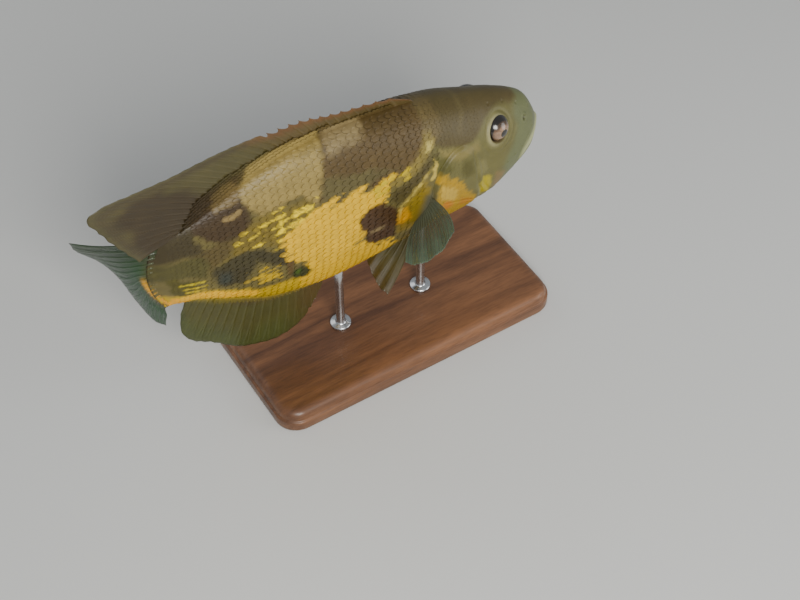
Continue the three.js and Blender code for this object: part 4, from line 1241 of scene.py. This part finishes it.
dorsalAt = middleFin(dorsal, backLine, dorsalMargin, lambda a: 0.62 * a + 0.38 * a ** 3)
analAt = middleFin(anal, bellyLine, analMargin, lambda a: a)
finLooks = {
    "dorsal": finColour(dorsalStops, (1.2, 1.16, 1.08), None, dorsal),
    "anal": finColour(analStops, (1.2, 1.2, 1.1), None, anal),
    "tail": finColour(tailStops, (1.1, 1.05, 0.95), filmShare(0.72, 0.1, 0.6, 0.3)),
    "pectoral": finColour(pectoralStops, (1.0, 0.95, 0.85), filmShare(0.6, 0.05, 0.5, 0.35)),
    "pelvic": finColour(pelvicStops, (1.02, 1.02, 1.0)),
}
makeFin("dorsal_fin", "fin_dark", dorsalAt, dorsal, finLooks["dorsal"], 5)
makeFin("anal_fin", "fin_dark", analAt, anal, finLooks["anal"], 6)
for sideName, sideSign in sides.items():
    sheathScales("dorsal_scales_" + sideName, sideSign, dorsalAt, dorsal, dorsalStops)
    sheathScales("anal_scales_" + sideName, sideSign, analAt, anal, analStops)
bpy.data.objects.remove(plateObject)
makeFin("tail_fin", "fin_clear", tailAt, tail, finLooks["tail"], 7)
for sideName, sideSign in sides.items():
    pectoralAt, pelvicAt = pairedFin(pectoral, sideSign), pairedFin(pelvic, sideSign)
    makeFin("pectoral_fin_" + sideName, "fin_clear", pectoralAt, pectoral, finLooks["pectoral"], 8)
    makeFin("pelvic_fin_" + sideName, "fin_dark", pelvicAt, pelvic, finLooks["pelvic"], 9)
print("fins made")


# Eyes
eye = {
    "pupil": 0.27, "iris": 0.86, "around": 96, "rings": 60, "bunch": 1.15, "dome": 0.0004,
    "drop": 0.0008, "forward": 0.2, "up": 0.04,  # metres down from its socket's middle, and where it looks
}


def eyeMaterial():
    material, shader = newMaterial("oscar_eye", roughness=0.2, specular=0.5, coat=0.7, coatRoughness=0.12)
    noise = objectNoise(material, 1400, 4)
    coated(material, shader, remap(material, noise, 0.7, 1.3))
    bumped(material, shader, [(noise, 0.00005, 0.15)])
    return material


def makeEye(name, side, material):
    s, h = np.array([head["eyeS"]]), np.array([head["eyeH"]])
    out = flankAt(s, h) + head["eyeProud"] - head["eyeRadius"]
    centre = place(s, side * out, scale * h)[0] - [0, 0, eye["drop"]]
    axis = Vector((eye["forward"], side, eye["up"])).normalized()
    upright = Vector((0, 0, 1)) - axis * axis.z
    upright.normalize()
    sideways = axis.cross(upright)
    axis, upright, sideways = (np.array(v) for v in (axis, upright, sideways))
    points, turn, spin = [centre + axis * (head["eyeRadius"] + eye["dome"])], [0.0], [0.0]
    for i in range(1, eye["rings"]):
        polar = math.pi * (i / eye["rings"]) ** eye["bunch"]
        radius = head["eyeRadius"] + eye["dome"] * float(hump(polar, 0.5))
        for j in range(eye["around"]):
            angle = 2 * math.pi * j / eye["around"]
            ring = math.cos(angle) * sideways + math.sin(angle) * upright
            points.append(centre + radius * (math.cos(polar) * axis + math.sin(polar) * ring))
            turn.append(polar)
            spin.append(angle)
    points.append(centre - axis * head["eyeRadius"])
    turn.append(math.pi)
    spin.append(0.0)
    around, last = eye["around"], len(points) - 1
    faces = [(0, 1 + j, 1 + (j + 1) % around) for j in range(around)]
    for first in range(1, 1 + (eye["rings"] - 2) * around, around):
        for j in range(around):
            a, b = first + j, first + (j + 1) % around
            faces.append((a, a + around, b + around, b))
    first = 1 + (eye["rings"] - 2) * around
    faces += [(first + j, last, first + (j + 1) % around) for j in range(around)]
    piece = meshObject(name, points, faces, material)
    ring = np.array(turn) / 0.98  # 1 where the eye meets its socket
    spin = np.array(spin)
    fibres = softNoise(np.stack([np.cos(spin) * 9, np.sin(spin) * 9, ring * 2.0], -1), 1.0, 41)
    colour = np.tile(linear(26, 22, 18), (len(ring), 1))
    # upper: a dark crescent over the top of the iris, partly its own darker colour and partly painted shade
    # of the brow over it
    upper = smoothstep(0.35, 0.8, np.sin(spin) + 0.15 * fibres) * smoothstep(0.5, 0.66, ring)
    outer = smoothstep(0.55, 0.8, ring + 0.12 * fibres)
    iris = over(linear(142, 112, 88), linear(110, 84, 64), outer)
    iris = over(iris, linear(66, 50, 34), 0.95 * upper)
    iris = iris * (1 + 0.3 * fibres)[:, None]
    colour = over(colour, iris, smoothstep(eye["pupil"], eye["pupil"] + 0.04, ring))
    gold = 0.5 * (1 - upper) * hump(ring - eye["pupil"] - 0.05, 0.025)
    colour = over(colour, linear(160, 126, 86), gold)
    edge = smoothstep(eye["iris"] - 0.05, eye["iris"] + 0.04, ring)
    colour = over(colour, linear(26, 21, 16), edge)
    addValues(piece, "coat", "FLOAT_COLOR", np.clip(colour, 0, 1))
    return finishPiece(piece, "eye", name.replace("oscar_", ""))


eyeFinish = eyeMaterial()
for sideName, sideSign in sides.items():
    makeEye("oscar_eye_" + sideName, sideSign, eyeFinish)
print("eyes made")


# Stand
base = {"length": 0.19, "width": 0.096, "height": 0.014, "corner": 0.014, "arc": 14}
baseProfile = [  # how far in from the outline, and how high, in millimetres
    [3.0, 0.0], [1.2, 0.0], [0.5, 0.25], [0.12, 0.8], [0, 1.6], [0, 6.6], [0.1, 7.1], [0.4, 7.4], [0.9, 7.6],
    [1.3, 7.9], [1.4, 8.4], [1.5, 9.4], [1.8, 10.6], [2.4, 11.8], [3.4, 12.8], [4.8, 13.5], [6.4, 13.9],
    [8.0, 14.0]]
rod = {"around": 56, "half": 2.6}  # the half width, in millimetres, that its profile is drawn for


def woodMaterial():
    material, shader = newMaterial("stand_wood", specular=0.4, coat=0.25, coatRoughness=0.3)
    wander = objectNoise(material, 1.4, 5.0, 0.5, (5.0, 60.0, 60.0), 0.6)
    ramp = addNode(material, "ShaderNodeValToRGB")
    stops = ramp.color_ramp.elements
    stops[0].position, stops[0].color = 0.32, (*linear(78, 50, 33), 1)
    stops[1].position, stops[1].color = 0.68, (*linear(124, 84, 55), 1)
    middle = stops.new(0.5)
    middle.color = (*linear(102, 68, 44), 1)
    join(material, wander, ramp.inputs["Fac"])
    pores = objectNoise(material, 900, 2, stretch=(0.12, 1, 1))
    colour = tinted(material, ramp.outputs["Color"], remap(material, pores, 0.82, 1.12, 0.3, 0.6))
    join(material, colour, shader.inputs["Base Color"])
    join(material, remap(material, pores, 0.5, 0.32, 0.3, 0.7), shader.inputs["Roughness"])
    bumped(material, shader, [(pores, 0.0002, 0.25), (wander, 0.0002, 0.2)])
    return material


def steelMaterial():
    material, shader = newMaterial("stand_steel", metallic=1.0, specular=0.5)
    shader.inputs["Base Color"].default_value = (0.6, 0.61, 0.62, 1)
    brush = objectNoise(material, 300, 3, stretch=(1, 1, 0.04))
    join(material, remap(material, brush, 0.16, 0.34), shader.inputs["Roughness"])
    bumped(material, shader, [(brush, 0.00004, 0.2)])
    return material


def ringFaces(count, around):  # faces between rings of points, from the lowest up
    faces = []
    for first in range(0, (count - 1) * around, around):
        for j in range(around):
            a, b = first + j, first + (j + 1) % around
            faces.append((a, b, b + around, a + around))
    return faces


def makeBase():
    rings = []
    for inset, height in baseProfile:
        x, y = base["length"] / 2 - inset / 1000, base["width"] / 2 - inset / 1000
        corner = max(base["corner"] - inset / 1000, 0.004)
        ring = []
        for quarter, (sx, sy) in enumerate(((1, 1), (-1, 1), (-1, -1), (1, -1))):
            for k in range(base["arc"] + 1):
                angle = (quarter + k / base["arc"]) * math.pi / 2
                across, along = corner * math.cos(angle), corner * math.sin(angle)
                ring.append((sx * (x - corner) + across, sy * (y - corner) + along, height / 1000))
        rings.append(ring)
    around = len(rings[0])
    points = [p for ring in rings for p in ring] + [(0, 0, 0), (0, 0, base["height"])]
    faces = ringFaces(len(rings), around)
    low, high, top = len(points) - 2, len(points) - 1, (len(rings) - 1) * around
    faces += [((j + 1) % around, j, low) for j in range(around)]
    faces += [(top + j, top + (j + 1) % around, high) for j in range(around)]
    piece = meshObject("display_base", points, faces, woodMaterial())
    return finishPiece(piece, "stand_wood", "stand_base")


def makeRod(name, material):
    low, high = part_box("stand_rod_" + name)
    x, y = (low[0] + high[0]) / 2, (low[1] + high[1]) / 2
    radius = (high[0] - low[0]) / 2
    foot = base["height"]
    half = rod["half"]
    profile = [(0, foot), (6.2, foot), (6.4, foot + 0.0003), (6.4, foot + 0.0016), (6.0, foot + 0.0021),
               (3.6, foot + 0.0024), (3.1, foot + 0.003), (half, foot + 0.0042)]
    profile += [(half, mix(foot + 0.0042, high[2] - 0.0004, t)) for t in (0.33, 0.66, 1)]
    profile += [(2.2, high[2]), (0, high[2])]
    angles = [2 * math.pi * j / rod["around"] for j in range(rod["around"])]
    points = []
    for width, z in profile:
        size = width / half * radius
        points += [(x + size * math.cos(angle), y + size * math.sin(angle), z) for angle in angles]
    faces = ringFaces(len(profile), rod["around"])
    piece = meshObject("display_rod_" + name, points, faces, material)
    shell = bmesh.new()
    shell.from_mesh(piece.data)
    bmesh.ops.remove_doubles(shell, verts=shell.verts, dist=1e-7)
    shell.to_mesh(piece.data)
    shell.free()
    return finishPiece(piece, "stand_metal", "stand_rod_" + name)


makeBase()
steel = steelMaterial()
for rodName in ("front", "rear"):
    makeRod(rodName, steel)
print("stand made")


# Floor, light and camera
camera = {
    "place": (-0.3286, -0.5414, 0.7654), "azimuth": -32.14, "elevation": 49.79, "lens": 72.9, "sensor": 36,
}
studio = {"floor": 3.0, "floorColour": (0.62, 0.62, 0.6, 1), "sky": (0.9, 0.95, 1.0, 1), "skyPower": 0.4}
lightAim = (0, 0, 0.11)
lights = {
    "key": {"place": (-0.3, -0.95, 0.8), "size": 0.6, "power": 15, "colour": (1, 0.98, 0.94)},
    "fill": {"place": (0.9, -0.8, 0.4), "size": 0.8, "power": 5, "colour": (1, 1, 1)},
    "rim": {"place": (-0.5, 1.0, 0.7), "size": 0.8, "power": 1.6, "colour": (1, 1, 1)},
}


def makeFloor():
    material, shader = newMaterial("studio_floor", roughness=0.8, specular=0.2)
    shader.inputs["Base Color"].default_value = studio["floorColour"]
    size = studio["floor"]
    corners = [(-size, -size, 0), (size, -size, 0), (size, size, 0), (-size, size, 0)]
    floor = meshObject("studio_floor", corners, [(0, 1, 2, 3)], material)
    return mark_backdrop(floor)


def addLight(name, values):
    data = bpy.data.lights.new(name, "AREA")
    data.shape, data.size, data.energy, data.color = "DISK", values["size"], values["power"], values["colour"]
    light = bpy.data.objects.new(name, data)
    light.location = values["place"]
    light.rotation_euler = (Vector(lightAim) - Vector(values["place"])).to_track_quat("-Z", "Y").to_euler()
    bpy.context.scene.collection.objects.link(light)


def addSky():
    world = bpy.data.worlds.new("studio")
    bpy.context.scene.world = world
    world.use_nodes = True
    sky = world.node_tree.nodes["Background"]
    sky.inputs["Color"].default_value = studio["sky"]
    sky.inputs["Strength"].default_value = studio["skyPower"]


def addCamera():
    data = bpy.data.cameras.new("camera")
    data.lens = camera["lens"]
    data.sensor_width = camera["sensor"]
    holder = bpy.data.objects.new("camera", data)
    holder.location = camera["place"]
    holder.rotation_euler = (math.radians(90 - camera["elevation"]), 0, math.radians(camera["azimuth"]))
    bpy.context.scene.collection.objects.link(holder)
    bpy.context.scene.camera = holder


makeFloor()
addSky()
for lightName, lightValues in lights.items():
    addLight(lightName, lightValues)
addCamera()
print("studio made")
